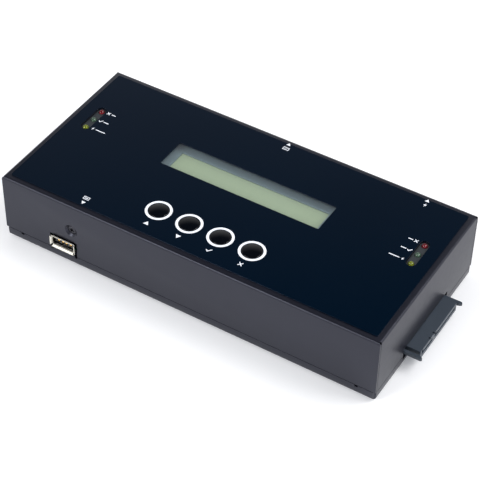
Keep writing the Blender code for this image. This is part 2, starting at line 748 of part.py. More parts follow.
def make_tray():
    """The shallow tray: floor, low walls, inner flanges, screw tabs and board bosses."""
    outside = block((-HALF_LENGTH, -HALF_WIDTH, 0), (HALF_LENGTH, HALF_WIDTH, TRAY_WALL),
                    BEND_RADIUS, at_bottom)
    inside = block((-HALF_LENGTH + SHEET, -WALL_INSIDE, SHEET),
                   (HALF_LENGTH - SHEET, WALL_INSIDE, TRAY_WALL + OVERRUN), BEND_RADIUS - SHEET, at_bottom)
    flange_length = CASE_LENGTH - 2 * FLANGE_INSET
    joined = [flange_strip(side, flange_length) for side in (-1, 1)]
    joined += [screw_tab(FRONT_SCREW_X, -1)]
    joined += [screw_tab(x, 1) for x in rear_screw_places()]
    joined += boss_shapes()
    half_tab = USB_LIP_WIDTH / 2 - USB_TAB_NARROWING
    usb_low = USB_HEIGHT_ABOVE_TRAY - USB_LIP_HEIGHT / 2 - SEAT
    joined.append(block((USB_X - half_tab, -HALF_WIDTH, TRAY_WALL - SHEET),
                        (USB_X + half_tab, -WALL_INSIDE, usb_low)))
    cuts = [*tray_corners(), *tray_reliefs(), *boss_hollows(), drive_cutout(), *rear_port_notches()]
    cuts += usb_tab_notches(half_tab)
    cuts.append(usb_flange_notch())
    cuts.append(case_screw_hole(FRONT_SCREW_X, -1))
    cuts += [case_screw_hole(x, 1) for x in rear_screw_places()]
    piece("base_tray", hollowed(outside, inside), POWDER_COAT, joined=joined, cut=cuts)


def tray_corners():
    """The relief at each lower corner, where two low walls meet."""
    return [placed(rod(BEND_RADIUS, -OVERRUN, TRAY_WALL + OVERRUN, SMALL_SIDES), at=(x, y, 0))
            for x, y in mirrored_places(HALF_LENGTH, HALF_WIDTH)]


def tray_reliefs():
    """The small notch in the low wall at each end of an inner flange."""
    shapes = []
    for side_x, side_y in mirrored_places(1, 1):
        start = HALF_LENGTH - FLANGE_INSET
        ends = sorted((side_x * start, side_x * (start + RELIEF_WIDTH)))
        sides = sorted((side_y * (FLANGE_INNER - OVERRUN), side_y * (HALF_WIDTH + OVERRUN)))
        shapes.append(block((ends[0], sides[0], TRAY_WALL - RELIEF_DEPTH),
                            (ends[1], sides[1], FLANGE_TOP + OVERRUN)))
    return shapes


def usb_flange_notch():
    """The gap in the front flange that the USB port's body passes through."""
    half = USB_LIP_WIDTH / 2 + SEAT
    return block((USB_X - half, -WALL_INSIDE, USB_HEIGHT_ABOVE_TRAY - USB_LIP_HEIGHT / 2 - SEAT),
                 (USB_X + half, -FLANGE_INNER + OVERRUN,
                  USB_HEIGHT_ABOVE_TRAY + USB_LIP_HEIGHT / 2 + SEAT))


def usb_tab_notches(half_tab):
    """The two notches in the tray's front wall, beside the tab under the USB port."""
    shapes = []
    for side in (-1, 1):
        ends = sorted((USB_X + side * half_tab, USB_X + side * (USB_LIP_WIDTH / 2 + SEAT)))
        shapes.append(block((ends[0], -HALF_WIDTH - OVERRUN, TRAY_WALL - RELIEF_DEPTH),
                            (ends[1], -FLANGE_INNER + OVERRUN, TRAY_WALL + RELIEF_DEPTH)))
    return shapes


def rear_port_notches():
    """The gaps in the rear flange behind the serial port and the power jack."""
    shapes = []
    places = ((SERIAL_X, SERIAL_FLANGE_WIDTH), (POWER_X, POWER_BODY_WIDTH))
    for x, width in places:
        half = width / 2 + PORT_GAP
        shapes.append(block((x - half, FLANGE_INNER - OVERRUN, MAIN_BOARD_TOP),
                            (x + half, WALL_INSIDE, FLANGE_TOP + OVERRUN)))
    return shapes


def make_feet():
    """Four round rubber feet stuck under the tray."""
    top, bottom = -GLUE, -FOOT_HEIGHT
    bevel = FOOT_ROUNDING
    profile = [(0, top), (FOOT_RADIUS, top), (FOOT_RADIUS, bottom + bevel)]
    profile += [(FOOT_RADIUS - bevel + u, v + bottom + bevel) for u, v in arc((0, 0), bevel, -30, -90, 2)]
    profile.append((0, bottom))
    places = mirrored_places(HALF_LENGTH - FOOT_INSET, HALF_WIDTH - FOOT_INSET)
    for corner, (x, y) in zip(CORNER_NAMES, places):
        piece(f"rubber_foot_{corner}", turned(profile), RUBBER, at=(x, y, 0))


def case_screw_mesh():
    """A countersunk screw about Z with its flat head's face at height 0."""
    bottom = -(CASE_SCREW_HEAD - CASE_SCREW_SHANK)
    profile = [(0, 0), (CASE_SCREW_HEAD, 0), (CASE_SCREW_SHANK, bottom),
               (CASE_SCREW_SHANK, -CASE_SCREW_LENGTH), (0, -CASE_SCREW_LENGTH)]
    return turned(profile, SMALL_SIDES)


def make_case_screws():
    """One screw in the front wall above the USB port, and two in the back wall."""
    quarter = math.radians(90)
    front = -HALF_WIDTH + CASE_SCREW_SINK
    piece("front_case_screw", case_screw_mesh(), BLACK_STEEL,
          at=(FRONT_SCREW_X, front, CASE_SCREW_HEIGHT), turn=(quarter, 0, 0))
    for name, x in zip(("left", "right"), rear_screw_places()):
        piece(f"rear_case_screw_{name}", case_screw_mesh(), BLACK_STEEL,
              at=(x, -front, CASE_SCREW_HEIGHT), turn=(-quarter, 0, 0))


# Lid: overlay, lens, buttons and lamps

def make_overlay():
    """The printed plastic face stuck on the lid."""
    outline = rounded_rectangle(CASE_LENGTH - 2 * OVERLAY_INSET, CASE_WIDTH - 2 * OVERLAY_INSET,
                                OVERLAY_CORNER)
    low, high = OVERLAY_BOTTOM - OVERRUN, OVERLAY_TOP + OVERRUN
    window = rounded_rectangle(WINDOW_LENGTH, WINDOW_WIDTH, WINDOW_CORNER, (0, WINDOW_CENTRE_Y))
    cuts = [plate(window, low, high)]
    for x, y in button_places():
        cuts.append(placed(rod(BUTTON_HOLE_RADIUS, low, high), at=(x, y, 0)))
    for side in (-1, 1):
        cuts.append(plate(stadium(SLOT_LENGTH, SLOT_WIDTH, (side * LAMP_X, LAMP_CENTRE_Y)), low, high))
    piece("graphic_overlay", plate(outline, OVERLAY_BOTTOM, OVERLAY_TOP), OVERLAY_PRINT, cut=cuts)


def make_lens():
    """The clear pane in the lid's display opening, under the overlay's edge."""
    margin = LENS_MARGIN - SEAT
    outline = rounded_rectangle(WINDOW_LENGTH + 2 * margin, WINDOW_WIDTH + 2 * margin, margin,
                                (0, WINDOW_CENTRE_Y))
    piece("display_lens", plate(outline, LID_UNDERSIDE, OVERLAY_BOTTOM - SEAT), CLEAR_LENS)


def button_cap_mesh():
    """A round cap with a shallow crown, a rim that stops under the lid, and a socket below."""
    rim_top = LID_UNDERSIDE - SEAT
    rim_bottom = rim_top - BUTTON_RIM_THICKNESS
    stem_bottom = plunger_top() - PLUNGER_IN_STEM
    edge_top = OVERLAY_TOP + BUTTON_RISE
    crown = [(BUTTON_RADIUS * share, edge_top + BUTTON_CROWN * (1 - share * share))
             for share in BUTTON_CROWN_SHARES]
    edge = [(BUTTON_RADIUS, edge_top - BUTTON_EDGE)]
    under = [(BUTTON_RADIUS, rim_top), (BUTTON_RADIUS + BUTTON_RIM, rim_top),
             (BUTTON_RADIUS + BUTTON_RIM, rim_bottom), (BUTTON_STEM_RADIUS, rim_bottom),
             (BUTTON_STEM_RADIUS, stem_bottom), (PLUNGER_RADIUS + SEAT, stem_bottom),
             (PLUNGER_RADIUS + SEAT, plunger_top() + SEAT), (0, plunger_top() + SEAT)]
    return turned(crown + edge + under)


def plunger_top():
    return LID_UNDERSIDE - PLUNGER_TOP_BELOW_LID


def make_buttons():
    """Each button: its cap and the switch plunger move together in a fixed switch body."""
    switch_bottom = PANEL_TOP + SEAT
    switch_top = switch_bottom + SWITCH_HEIGHT
    half = SWITCH_SIDE / 2
    bore_bottom = switch_top - PLUNGER_INSIDE - BUTTON_TRAVEL - SEAT
    for name, (x, y) in zip(BUTTON_NAMES, button_places()):
        piece(f"button_cap_{name}", button_cap_mesh(), BLACK_PLASTIC, at=(x, y, 0))
        plunger = rod(PLUNGER_RADIUS, switch_top - PLUNGER_INSIDE, plunger_top(), SMALL_SIDES)
        piece(f"switch_plunger_{name}", plunger, BLACK_PLASTIC, at=(x, y, 0))
        body = block((-half, -half, switch_bottom), (half, half, switch_top), SEAT, upright)
        bore = rod(PLUNGER_RADIUS + SEAT, bore_bottom, switch_top + OVERRUN, SMALL_SIDES)
        piece(f"switch_body_{name}", body, BLACK_PLASTIC, at=(x, y, 0), cut=[bore])


def lamp_places():
    """Places along a holder, from the front: powered, pass, fail."""
    middle = (len(LAMP_NAMES) - 1) / 2
    return [(i - middle) * LAMP_PITCH for i in range(len(LAMP_NAMES))]


def lamp_bottom():
    return OVERLAY_TOP + LAMP_PROUD - LAMP_HEIGHT


def make_lamp_holder(name, x):
    """The plastic block that spaces three lamps and fills the lid's slot."""
    nose_width = SLOT_WIDTH - 2 * HOLDER_CLEARANCE
    nose_length = SLOT_LENGTH - 2 * HOLDER_CLEARANCE
    shoulder = LID_UNDERSIDE - SEAT
    top = CASE_HEIGHT - HOLDER_SINK
    low = PANEL_TOP + SEAT
    nose = plate(stadium(nose_length, nose_width), low, top)
    body = plate(stadium(nose_length + 2 * HOLDER_SHOULDER, nose_width + 2 * HOLDER_SHOULDER), low, shoulder)
    bore, seat = LAMP_RADIUS + LAMP_CLEARANCE, LAMP_RADIUS + LAMP_FLANGE + LAMP_CLEARANCE
    step = lamp_bottom() + LAMP_FLANGE_HEIGHT + SEAT
    cuts = []
    for y in lamp_places():
        profile = [(0, top + OVERRUN), (bore, top + OVERRUN), (bore, step), (seat, step),
                   (seat, low - OVERRUN), (0, low - OVERRUN)]
        cuts.append(placed(turned(profile, SMALL_SIDES), at=(0, y, 0)))
    piece(name, nose, GREY_PLASTIC, at=(x, LAMP_CENTRE_Y, 0), joined=[body], cut=cuts)


def lamp_mesh():
    """A domed lamp with its foot flange, about Z."""
    low, dome = lamp_bottom(), OVERLAY_TOP + LAMP_PROUD - LAMP_RADIUS
    flange = LAMP_RADIUS + LAMP_FLANGE
    profile = [(u, dome + v) for u, v in arc((0, 0), LAMP_RADIUS, 90, 0, 5)]
    profile += [(LAMP_RADIUS, low + LAMP_FLANGE_HEIGHT), (flange, low + LAMP_FLANGE_HEIGHT),
                (flange, low), (0, low)]
    return turned(profile, SMALL_SIDES)


def lamp_leads():
    """Two square wires from the lamp down to the panel board."""
    half = LAMP_LEAD / 2
    leads = []
    for side in (-1, 1):
        y = side * LAMP_LEAD_SPACING / 2
        leads.append(block((-half, y - half, PANEL_TOP + SEAT), (half, y + half, lamp_bottom() + SEAT)))
    return leads


def make_lamps():
    for side_name, side in (("left", -1), ("right", 1)):
        x = side * LAMP_X
        make_lamp_holder(f"lamp_holder_{side_name}", x)
        for lamp, y in zip(LAMP_NAMES, lamp_places()):
            piece(f"lamp_{lamp}_{side_name}", lamp_mesh(), LAMP_COLOURS[lamp],
                  at=(x, LAMP_CENTRE_Y + y, 0), joined=lamp_leads())


# Display module

def make_display():
    """Frame, glass, backlight and board of the character display, and its pin header."""
    half_length, half_width = DISPLAY_LENGTH / 2, DISPLAY_WIDTH / 2
    inner_length, inner_width = half_length - DISPLAY_FRAME_SHEET, half_width - DISPLAY_FRAME_SHEET
    frame_bottom = FRAME_TOP - DISPLAY_FRAME_DEPTH
    outside = block((-half_length, -half_width, frame_bottom), (half_length, half_width, FRAME_TOP),
                    DISPLAY_FRAME_SHEET, at_top)
    inside = block((-inner_length, -inner_width, frame_bottom - OVERRUN),
                   (inner_length, inner_width, FRAME_TOP - DISPLAY_FRAME_SHEET))
    view = block((-DISPLAY_VIEW_LENGTH / 2, -DISPLAY_VIEW_WIDTH / 2, frame_bottom),
                 (DISPLAY_VIEW_LENGTH / 2, DISPLAY_VIEW_WIDTH / 2, FRAME_TOP + OVERRUN))
    place = (0, WINDOW_CENTRE_Y, 0)
    piece("display_frame", hollowed(outside, inside), DISPLAY_METAL, at=place, cut=[view])

    glass_bottom = GLASS_TOP - DISPLAY_GLASS
    reach_x, reach_y = inner_length - SEAT, inner_width - SEAT
    glass = block((-reach_x, -reach_y, glass_bottom), (reach_x, reach_y, GLASS_TOP))
    piece("display_glass", glass, DISPLAY_GREEN, at=place)
    light = block((-reach_x, -reach_y, DISPLAY_BOARD_TOP + SEAT), (reach_x, reach_y, glass_bottom - SEAT))
    piece("display_backlight", light, WHITE_PLASTIC, at=place)

    half = (DISPLAY_BOARD_LENGTH / 2, DISPLAY_BOARD_WIDTH / 2)
    board = block((-half[0], -half[1], DISPLAY_BOARD_BOTTOM), (half[0], half[1], DISPLAY_BOARD_TOP))
    holes = [placed(rod(DISPLAY_HOLE_RADIUS, DISPLAY_BOARD_BOTTOM - OVERRUN, DISPLAY_BOARD_TOP + OVERRUN,
                        SMALL_SIDES), at=(x, y, 0))
             for x, y in mirrored_places(half[0] - DISPLAY_HOLE_INSET, half[1] - DISPLAY_HOLE_INSET)]
    piece("display_board", board, BOARD_GREEN, at=place, cut=holes)

    header_y = WINDOW_CENTRE_Y + half[1] - HEADER_EDGE_INSET
    header = block((-HEADER_LENGTH / 2, -HEADER_WIDTH / 2, PANEL_TOP + SEAT),
                   (HEADER_LENGTH / 2, HEADER_WIDTH / 2, DISPLAY_BOARD_BOTTOM - SEAT))
    piece("display_header", header, BLACK_PLASTIC, at=(0, header_y, 0))


# Circuit boards

def make_boards():
    """The main board on the tray's bosses, and the panel board on the lid's studs."""
    x, y = HALF_LENGTH - MAIN_BOARD_MARGIN_X, HALF_WIDTH - MAIN_BOARD_MARGIN_Y
    low, high = MAIN_BOARD_HEIGHT, MAIN_BOARD_TOP
    grip = (HALF_LENGTH - DRIVE_INSIDE + BOARD_GRIP - SEAT, BOARD_GRIP_WIDTH / 2 - SEAT)
    tongue = block((-grip[0], -grip[1], low), (grip[0], grip[1], high))
    radius = PAN_SHANK_RADIUS + SCREW_HOLE_CLEARANCE
    holes = [placed(rod(radius, low - OVERRUN, high + OVERRUN, SMALL_SIDES), at=(px, py, 0))
             for px, py in boss_places()]
    piece("main_board", block((-x, -y, low), (x, y, high)), BOARD_GREEN, joined=[tongue], cut=holes)

    x = HALF_LENGTH - PANEL_MARGIN_X
    holes = [placed(rod(radius, PANEL_BOTTOM - OVERRUN, PANEL_TOP + OVERRUN, SMALL_SIDES), at=(px, py, 0))
             for px, py in stud_places()]
    board = block((-x, PANEL_FRONT, PANEL_BOTTOM), (x, PANEL_REAR, PANEL_TOP))
    piece("panel_board", board, BOARD_GREEN, cut=holes)


def pan_screw_mesh():
    """A pan-head screw about Z, with the underside of its head at height 0."""
    top = PAN_HEAD_HEIGHT
    profile = [(0, top), (PAN_HEAD_RADIUS / 2, top), (PAN_HEAD_RADIUS, top / 2), (PAN_HEAD_RADIUS, 0),
               (PAN_SHANK_RADIUS, 0), (PAN_SHANK_RADIUS, -PAN_SHANK_LENGTH), (0, -PAN_SHANK_LENGTH)]
    return turned(profile, SMALL_SIDES)


def make_board_screws():
    for corner, (x, y) in zip(CORNER_NAMES, boss_places()):
        piece(f"main_board_screw_{corner}", pan_screw_mesh(), STEEL, at=(x, y, MAIN_BOARD_TOP + SEAT))
    for corner, (x, y) in zip(CORNER_NAMES, stud_places()):
        piece(f"panel_board_screw_{corner}", pan_screw_mesh(), STEEL,
              at=(x, y, PANEL_BOTTOM - SEAT), turn=(HALF_TURN, 0, 0))


def make_board_parts():
    """The controller chip, and the ribbon that links the two boards in an S."""
    half = CHIP_SIDE / 2
    chip = block((-half, -half, 0), (half, half, CHIP_HEIGHT), SEAT, at_top)
    piece("controller_chip", chip, BLACK_PLASTIC, at=(0, CHIP_CENTRE_Y, MAIN_BOARD_TOP + SEAT))

    low, high = MAIN_BOARD_TOP + SEAT, PANEL_BOTTOM - SEAT
    steps = 12
    path = [(RIBBON_SWEEP * math.sin(math.tau * i / steps), low + (high - low) * i / steps)
            for i in range(steps + 1)]
    half = RIBBON_THICKNESS / 2
    outline = [(y + half, z) for y, z in path] + [(y - half, z) for y, z in reversed(path)]
    ribbon = placed(plate(outline, -RIBBON_WIDTH / 2, RIBBON_WIDTH / 2), AGAINST_END)
    piece("board_link_ribbon", ribbon, RIBBON_GREY, at=(0, RIBBON_CENTRE_Y, 0))


# Drive connectors

def guide_post(side):
    """A guide arm beside the mating face, tapered at its tip so that a drive finds its place."""
    inner = DRIVE_BODY_WIDTH / 2 + GUIDE_GAP
    outer = inner + GUIDE_WIDTH
    tip = DRIVE_REACH + GUIDE_LEAD
    outline = [(-DRIVE_INSIDE, inner), (tip - GUIDE_LEAD, inner), (tip - GUIDE_TIP, inner + GUIDE_TIP),
               (tip, outer - GUIDE_TIP), (tip - GUIDE_TIP, outer), (-DRIVE_INSIDE, outer)]
    top = DRIVE_BODY_HEIGHT / 2 - GUIDE_BELOW_TOP
    return plate([(x, side * y) for x, y in outline], top - GUIDE_HEIGHT, top)


def keyway(start, width):
    """An L-shaped slot in the mating face, for a drive's contact blade and its key."""
    depth = DRIVE_REACH - KEYWAY_DEPTH
    half = KEYWAY / 2
    outline = [(start, -half), (start + width, -half), (start + width, half),
               (start + KEYWAY, half), (start + KEYWAY, KEY_LEG - half), (start, KEY_LEG - half)]
    return placed(plate(outline, depth, DRIVE_REACH + OVERRUN), AGAINST_END)


def contact_grooves(start, width, count):
    """A row of grooves in a keyway's floor, one behind each contact, short of the mating face."""
    middle = start + KEYWAY + (width - KEYWAY) / 2
    bottom, top = -KEYWAY / 2 - CONTACT_GROOVE_DEPTH, 0
    shapes = []
    for i in range(count):
        y = middle + (i - (count - 1) / 2) * CONTACT_PITCH
        shapes.append(block((DRIVE_REACH - KEYWAY_DEPTH, y - CONTACT_GROOVE / 2, bottom),
                            (DRIVE_REACH - CONTACT_LIP, y + CONTACT_GROOVE / 2, top)))
    return shapes


def drive_connector_cuts():
    half_span = (SIGNAL_KEYWAY + KEYWAY_SPACING + POWER_KEYWAY) / 2
    power_start = half_span - POWER_KEYWAY
    cuts = [keyway(-half_span, SIGNAL_KEYWAY), keyway(power_start, POWER_KEYWAY)]
    cuts += contact_grooves(-half_span, SIGNAL_KEYWAY, SIGNAL_CONTACTS)
    cuts += contact_grooves(power_start, POWER_KEYWAY, POWER_CONTACTS)
    grip = BOARD / 2 + SEAT
    cuts.append(block((-DRIVE_INSIDE - OVERRUN, -BOARD_GRIP_WIDTH / 2, -grip),
                      (-DRIVE_INSIDE + BOARD_GRIP, BOARD_GRIP_WIDTH / 2, grip)))
    top = DRIVE_BODY_HEIGHT / 2
    for i in range(2):
        y = -NOTCH_OFFSET - i * NOTCH_SPACING
        cuts.append(block((DRIVE_REACH - NOTCH_LENGTH, y - NOTCH_WIDTH / 2, top - NOTCH_DEPTH),
                          (DRIVE_REACH + OVERRUN, y + NOTCH_WIDTH / 2, top + OVERRUN)))
    return cuts


def make_drive_connectors():
    """The same connector at both ends, turned half round for the left one."""
    half_width, half_height = DRIVE_BODY_WIDTH / 2, DRIVE_BODY_HEIGHT / 2
    shoulder_width = DRIVE_SPAN / 2
    for name, side, turn in (("right", 1, 0), ("left", -1, HALF_TURN)):
        body = block((-DRIVE_INSIDE, -half_width, -half_height), (DRIVE_REACH, half_width, half_height))
        shoulder = block((-DRIVE_INSIDE, -shoulder_width, -half_height),
                         (-DRIVE_INSIDE + DRIVE_SHOULDER, shoulder_width, half_height))
        piece(f"drive_connector_{name}", body, GREY_PLASTIC, at=(side * HALF_LENGTH, 0, DRIVE_HEIGHT),
              turn=(0, 0, turn), joined=[shoulder, guide_post(-1), guide_post(1)],
              cut=drive_connector_cuts())


# Front and rear ports

def section(width, height, corner, depth):
    """A rounded rectangle as 3-D points at a depth."""
    return [(x, y, depth) for x, y in rounded_rectangle(width, height, corner, steps=2)]


def make_usb_port():
    """The folded steel shell with its four flared lips, and the plastic tongue inside."""
    lip_start = USB_PROUD - USB_LIP_DEPTH
    inner = (USB_WIDTH - 2 * USB_WALL, USB_HEIGHT - 2 * USB_WALL, USB_CORNER - USB_WALL)
    lip_inner = (USB_LIP_WIDTH - 2 * USB_WALL, USB_LIP_HEIGHT - 2 * USB_WALL, USB_CORNER - USB_WALL)
    back = -USB_DEPTH
    shell = loft([
        section(USB_WIDTH, USB_HEIGHT, USB_CORNER, back),
        section(USB_WIDTH, USB_HEIGHT, USB_CORNER, lip_start),
        section(USB_LIP_WIDTH, USB_LIP_HEIGHT, USB_CORNER, USB_PROUD),
        section(*lip_inner, USB_PROUD),
        section(*inner, lip_start),
        section(*inner, back),
    ])
    quarter = math.radians(90)
    place = (USB_X, -HALF_WIDTH, USB_HEIGHT_ABOVE_TRAY)
    half = (USB_WIDTH / 2, USB_HEIGHT / 2)
    corners = []
    for side_x, side_y in mirrored_places(1, 1):
        ends = sorted((side_x * (half[0] - USB_WALL), side_x * (USB_LIP_WIDTH / 2 + OVERRUN)))
        sides = sorted((side_y * (half[1] - USB_WALL), side_y * (USB_LIP_HEIGHT / 2 + OVERRUN)))
        corners.append(block((ends[0], sides[0], lip_start + USB_WALL), (ends[1], sides[1], OVERRUN)))
    piece("usb_shell", shell, STEEL, at=place, turn=(quarter, 0, 0), cut=corners)

    reach_x, reach_y = inner[0] / 2 - SEAT, inner[1] / 2 - SEAT
    base = block((-reach_x, -reach_y, back), (reach_x, reach_y, back + USB_BASE_LENGTH))
    low = -reach_y + USB_TONGUE_LIFT
    tongue = block((-USB_TONGUE_WIDTH / 2, low, back + USB_BASE_LENGTH - SEAT),
                   (USB_TONGUE_WIDTH / 2, low + USB_TONGUE_THICKNESS,
                    back + USB_BASE_LENGTH + USB_TONGUE_LENGTH))
    piece("usb_tongue", base, WHITE_PLASTIC, at=place, turn=(quarter, 0, 0), joined=[tongue])


def make_serial_port():
    """The D-shaped steel shell on its flange, the insulator block, and two hexagon jackscrews."""
    flange_face = SHEET + SEAT
    flange_back = flange_face + SERIAL_FLANGE_SHEET
    place = (SERIAL_X, HALF_WIDTH, SERIAL_HEIGHT)
    half = (SERIAL_FLANGE_WIDTH / 2, SERIAL_FLANGE_HEIGHT / 2)
    spacing = JACKSCREW_SPACING / 2
    flange = plate(rounded_rectangle(2 * half[0], 2 * half[1], SHEET), flange_face, flange_back)
    tube = plate(serial_outline(0), -SERIAL_REACH, flange_face + SERIAL_FLANGE_SHEET / 2)
    bore = plate(serial_outline(-SERIAL_SHELL_WALL), -SERIAL_REACH - OVERRUN, flange_back + OVERRUN)
    cuts = [bore]
    for side in (-1, 1):
        hole = rod(JACKSCREW_SHANK + SEAT, flange_face - OVERRUN, flange_back + OVERRUN, SMALL_SIDES)
        cuts.append(placed(hole, at=(side * spacing, 0, 0)))
    quarter = math.radians(90)
    piece("serial_shell", flange, STEEL, at=place, turn=(quarter, 0, 0), joined=[tube], cut=cuts)

    block_front = flange_back + SEAT
    insulator = plate(rounded_rectangle(2 * half[0], 2 * half[1], SHEET), block_front,
                      block_front + SERIAL_BLOCK_DEPTH)
    nose = plate(serial_outline(-SERIAL_SHELL_WALL - SEAT), -SERIAL_REACH + SEAT, block_front + SEAT)
    cuts = []
    for row, count in ((1, 5), (-1, 4)):
        for i in range(count):
            x = (i - (count - 1) / 2) * SERIAL_HOLE_PITCH
            hole = rod(SERIAL_HOLE_RADIUS, -SERIAL_REACH - OVERRUN, -SERIAL_REACH + SERIAL_HOLE_DEPTH, 8)
            cuts.append(placed(hole, at=(x, row * SERIAL_ROW_SPACING / 2, 0)))
    for side in (-1, 1):
        hole = rod(JACKSCREW_SHANK + SEAT, block_front - OVERRUN, JACKSCREW_SHANK_LENGTH, SMALL_SIDES)
        cuts.append(placed(hole, at=(side * spacing, 0, 0)))
    piece("serial_insulator", insulator, BLACK_PLASTIC, at=place, turn=(quarter, 0, 0),
          joined=[nose], cut=cuts)

    hexagon = JACKSCREW_ACROSS / math.sqrt(3)
    for name, side in (("left", -1), ("right", 1)):
        head = rod(hexagon, -SEAT - JACKSCREW_HEX_LENGTH, -SEAT, 6)
        shank = rod(JACKSCREW_SHANK, -SEAT * 2, JACKSCREW_SHANK_LENGTH - SEAT, SMALL_SIDES)
        bore = rod(JACKSCREW_BORE, -JACKSCREW_HEX_LENGTH - OVERRUN, -SEAT - OVERRUN, SMALL_SIDES)
        piece(f"serial_jackscrew_{name}", head, STEEL,
              at=(SERIAL_X + side * spacing, HALF_WIDTH, SERIAL_HEIGHT), turn=(quarter, 0, 0),
              joined=[shank], cut=[bore])


def make_power_jack():
    """The moulded jack behind the back wall, its collar in the wall's hole, and its centre pin."""
    body_front = SHEET + SEAT
    half = (POWER_BODY_WIDTH / 2, POWER_BODY_HEIGHT / 2)
    body = block((-half[0], -half[1], body_front), (half[0], half[1], body_front + POWER_BODY_DEPTH))
    collar = rod(POWER_COLLAR_RADIUS, 0, body_front + SEAT)
    bore = rod(POWER_BORE_RADIUS, -OVERRUN, POWER_BORE_DEPTH)
    quarter = math.radians(90)
    place = (POWER_X, HALF_WIDTH, POWER_HEIGHT)
    piece("power_jack_body", body, BLACK_PLASTIC, at=place, turn=(quarter, 0, 0),
          joined=[collar], cut=[bore])
    base = POWER_BORE_DEPTH - SEAT
    tip = base - POWER_PIN_LENGTH
    rounding = POWER_PIN_RADIUS / 2
    profile = [(0, base), (POWER_PIN_RADIUS, base), (POWER_PIN_RADIUS, tip + rounding),
               (rounding, tip), (0, tip)]
    piece("power_jack_pin", turned(profile, SMALL_SIDES), STEEL, at=place, turn=(quarter, 0, 0))


make_cover()
make_tray()
make_feet()
make_case_screws()
make_overlay()
make_lens()
make_buttons()
make_lamps()
make_display()
make_boards()
make_board_screws()
make_board_parts()
make_drive_connectors()
make_usb_port()
make_serial_port()
make_power_jack()
bpy.data.scenes.remove(WORKSHOP)
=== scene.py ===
# %% [markdown]
# Hard drive duplicator: a small folded-steel box that copies one drive to another.
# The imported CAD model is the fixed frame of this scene. It already has every solid in its place, so
# this lesson works on what the eye sees: finishes, prints, edges, lamps, contacts and light.
# All lengths are metres, and millimetres are written as a number times MM.

# %% Load the frame
import math

import bmesh
import bpy
import numpy as np
from mathutils import Matrix, Vector


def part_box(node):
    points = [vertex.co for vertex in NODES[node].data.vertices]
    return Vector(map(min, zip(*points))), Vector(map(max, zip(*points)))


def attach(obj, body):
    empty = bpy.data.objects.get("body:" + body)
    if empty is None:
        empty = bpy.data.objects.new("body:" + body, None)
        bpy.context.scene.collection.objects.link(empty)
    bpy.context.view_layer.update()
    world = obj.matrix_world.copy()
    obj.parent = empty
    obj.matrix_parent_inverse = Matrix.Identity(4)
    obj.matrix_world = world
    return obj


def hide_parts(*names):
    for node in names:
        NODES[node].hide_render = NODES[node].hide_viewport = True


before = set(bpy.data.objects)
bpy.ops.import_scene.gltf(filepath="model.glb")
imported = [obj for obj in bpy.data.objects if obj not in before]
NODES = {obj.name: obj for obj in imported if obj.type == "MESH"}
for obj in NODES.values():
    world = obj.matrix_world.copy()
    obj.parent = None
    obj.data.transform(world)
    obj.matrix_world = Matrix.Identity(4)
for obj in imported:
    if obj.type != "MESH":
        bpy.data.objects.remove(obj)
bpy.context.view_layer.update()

MM = 0.001

# %% [markdown]
# The lid, the front wall and the ports are the places that everything else is measured from.
# They are read from the boxes of the CAD nodes, so a print or a contact always sits on its carrier.

# %% Places on the object
LID_LOW, LID_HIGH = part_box("top_cover")
CASE_Y = (LID_LOW.y + LID_HIGH.y) / 2
FRONT_Y, BACK_Y = LID_LOW.y, LID_HIGH.y
INK_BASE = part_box("graphic_overlay")[1].z
BUTTONS = ("up", "down", "ok", "esc")
LAMPS = ("powered", "pass", "fail")
SIDES = (("left", -1), ("right", 1))


def centre(node):
    """The middle of a CAD node's box."""
    low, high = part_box(node)
    return (low + high) / 2


print("lid top", round(LID_HIGH.z / MM, 2), "print surface", round(INK_BASE / MM, 2))

# %% [markdown]
# The camera was fitted to the case's seven visible corners in the photograph, as a pinhole: where it
# stands, where it looks and how long its lens is. The numbers are lengths of the case from its
# middle, so they scale with it.

# %% Camera
CASE_LENGTH = LID_HIGH.x - LID_LOW.x
FEET_HEIGHT = 1.8 * MM
AZIMUTH, ELEVATION, ROLL = (math.radians(a) for a in (30.74, 43.47, 1.17))
CAMERA_PLACE = Vector((1.46876, -2.45524, 2.75249)) * CASE_LENGTH + Vector((0, CASE_Y, FEET_HEIGHT))


def camera_turn():
    """Rotation matrix whose columns are the picture's right, its up, and the way back to the lens.
    back = (sin a cos e, -cos a cos e, sin e); right lies level; both are rolled about back."""
    back = Vector((math.sin(AZIMUTH) * math.cos(ELEVATION), -math.cos(AZIMUTH) * math.cos(ELEVATION),
                   math.sin(ELEVATION)))
    level = Vector((math.cos(AZIMUTH), math.sin(AZIMUTH), 0))
    upright = back.cross(level)
    right = math.cos(ROLL) * level + math.sin(ROLL) * upright
    up = math.cos(ROLL) * upright - math.sin(ROLL) * level
    return Matrix((right, up, back)).transposed().to_4x4()


lens = bpy.data.cameras.new("photo_camera")
lens.lens, lens.sensor_width = 124.97, 36.0
camera = bpy.data.objects.new("photo_camera", lens)
camera.matrix_world = Matrix.Translation(CAMERA_PLACE) @ camera_turn()
bpy.context.scene.collection.objects.link(camera)
bpy.context.scene.camera = camera
bpy.context.scene.view_settings.view_transform = "Standard"
print("camera", round((CAMERA_PLACE - centre("top_cover")).length, 3), "m away")

# %% [markdown]
# Every finish is a small node graph. Three helpers keep the graphs short: one turns a written colour
# into the linear numbers that the shader works in, one adds any node with its settings and links,
# and one starts a material with its Principled BSDF.

# %% Material helpers


def linear(colour):
    """An sRGB hex colour as linear RGBA: c/12.92 near black, ((c + 0.055)/1.055)^2.4 above."""
    channels = np.array([int(colour[i:i + 2], 16) for i in (1, 3, 5)]) / 255
    straight = np.where(channels <= 0.04045, channels / 12.92, ((channels + 0.055) / 1.055) ** 2.4)
    return (*straight.tolist(), 1.0)


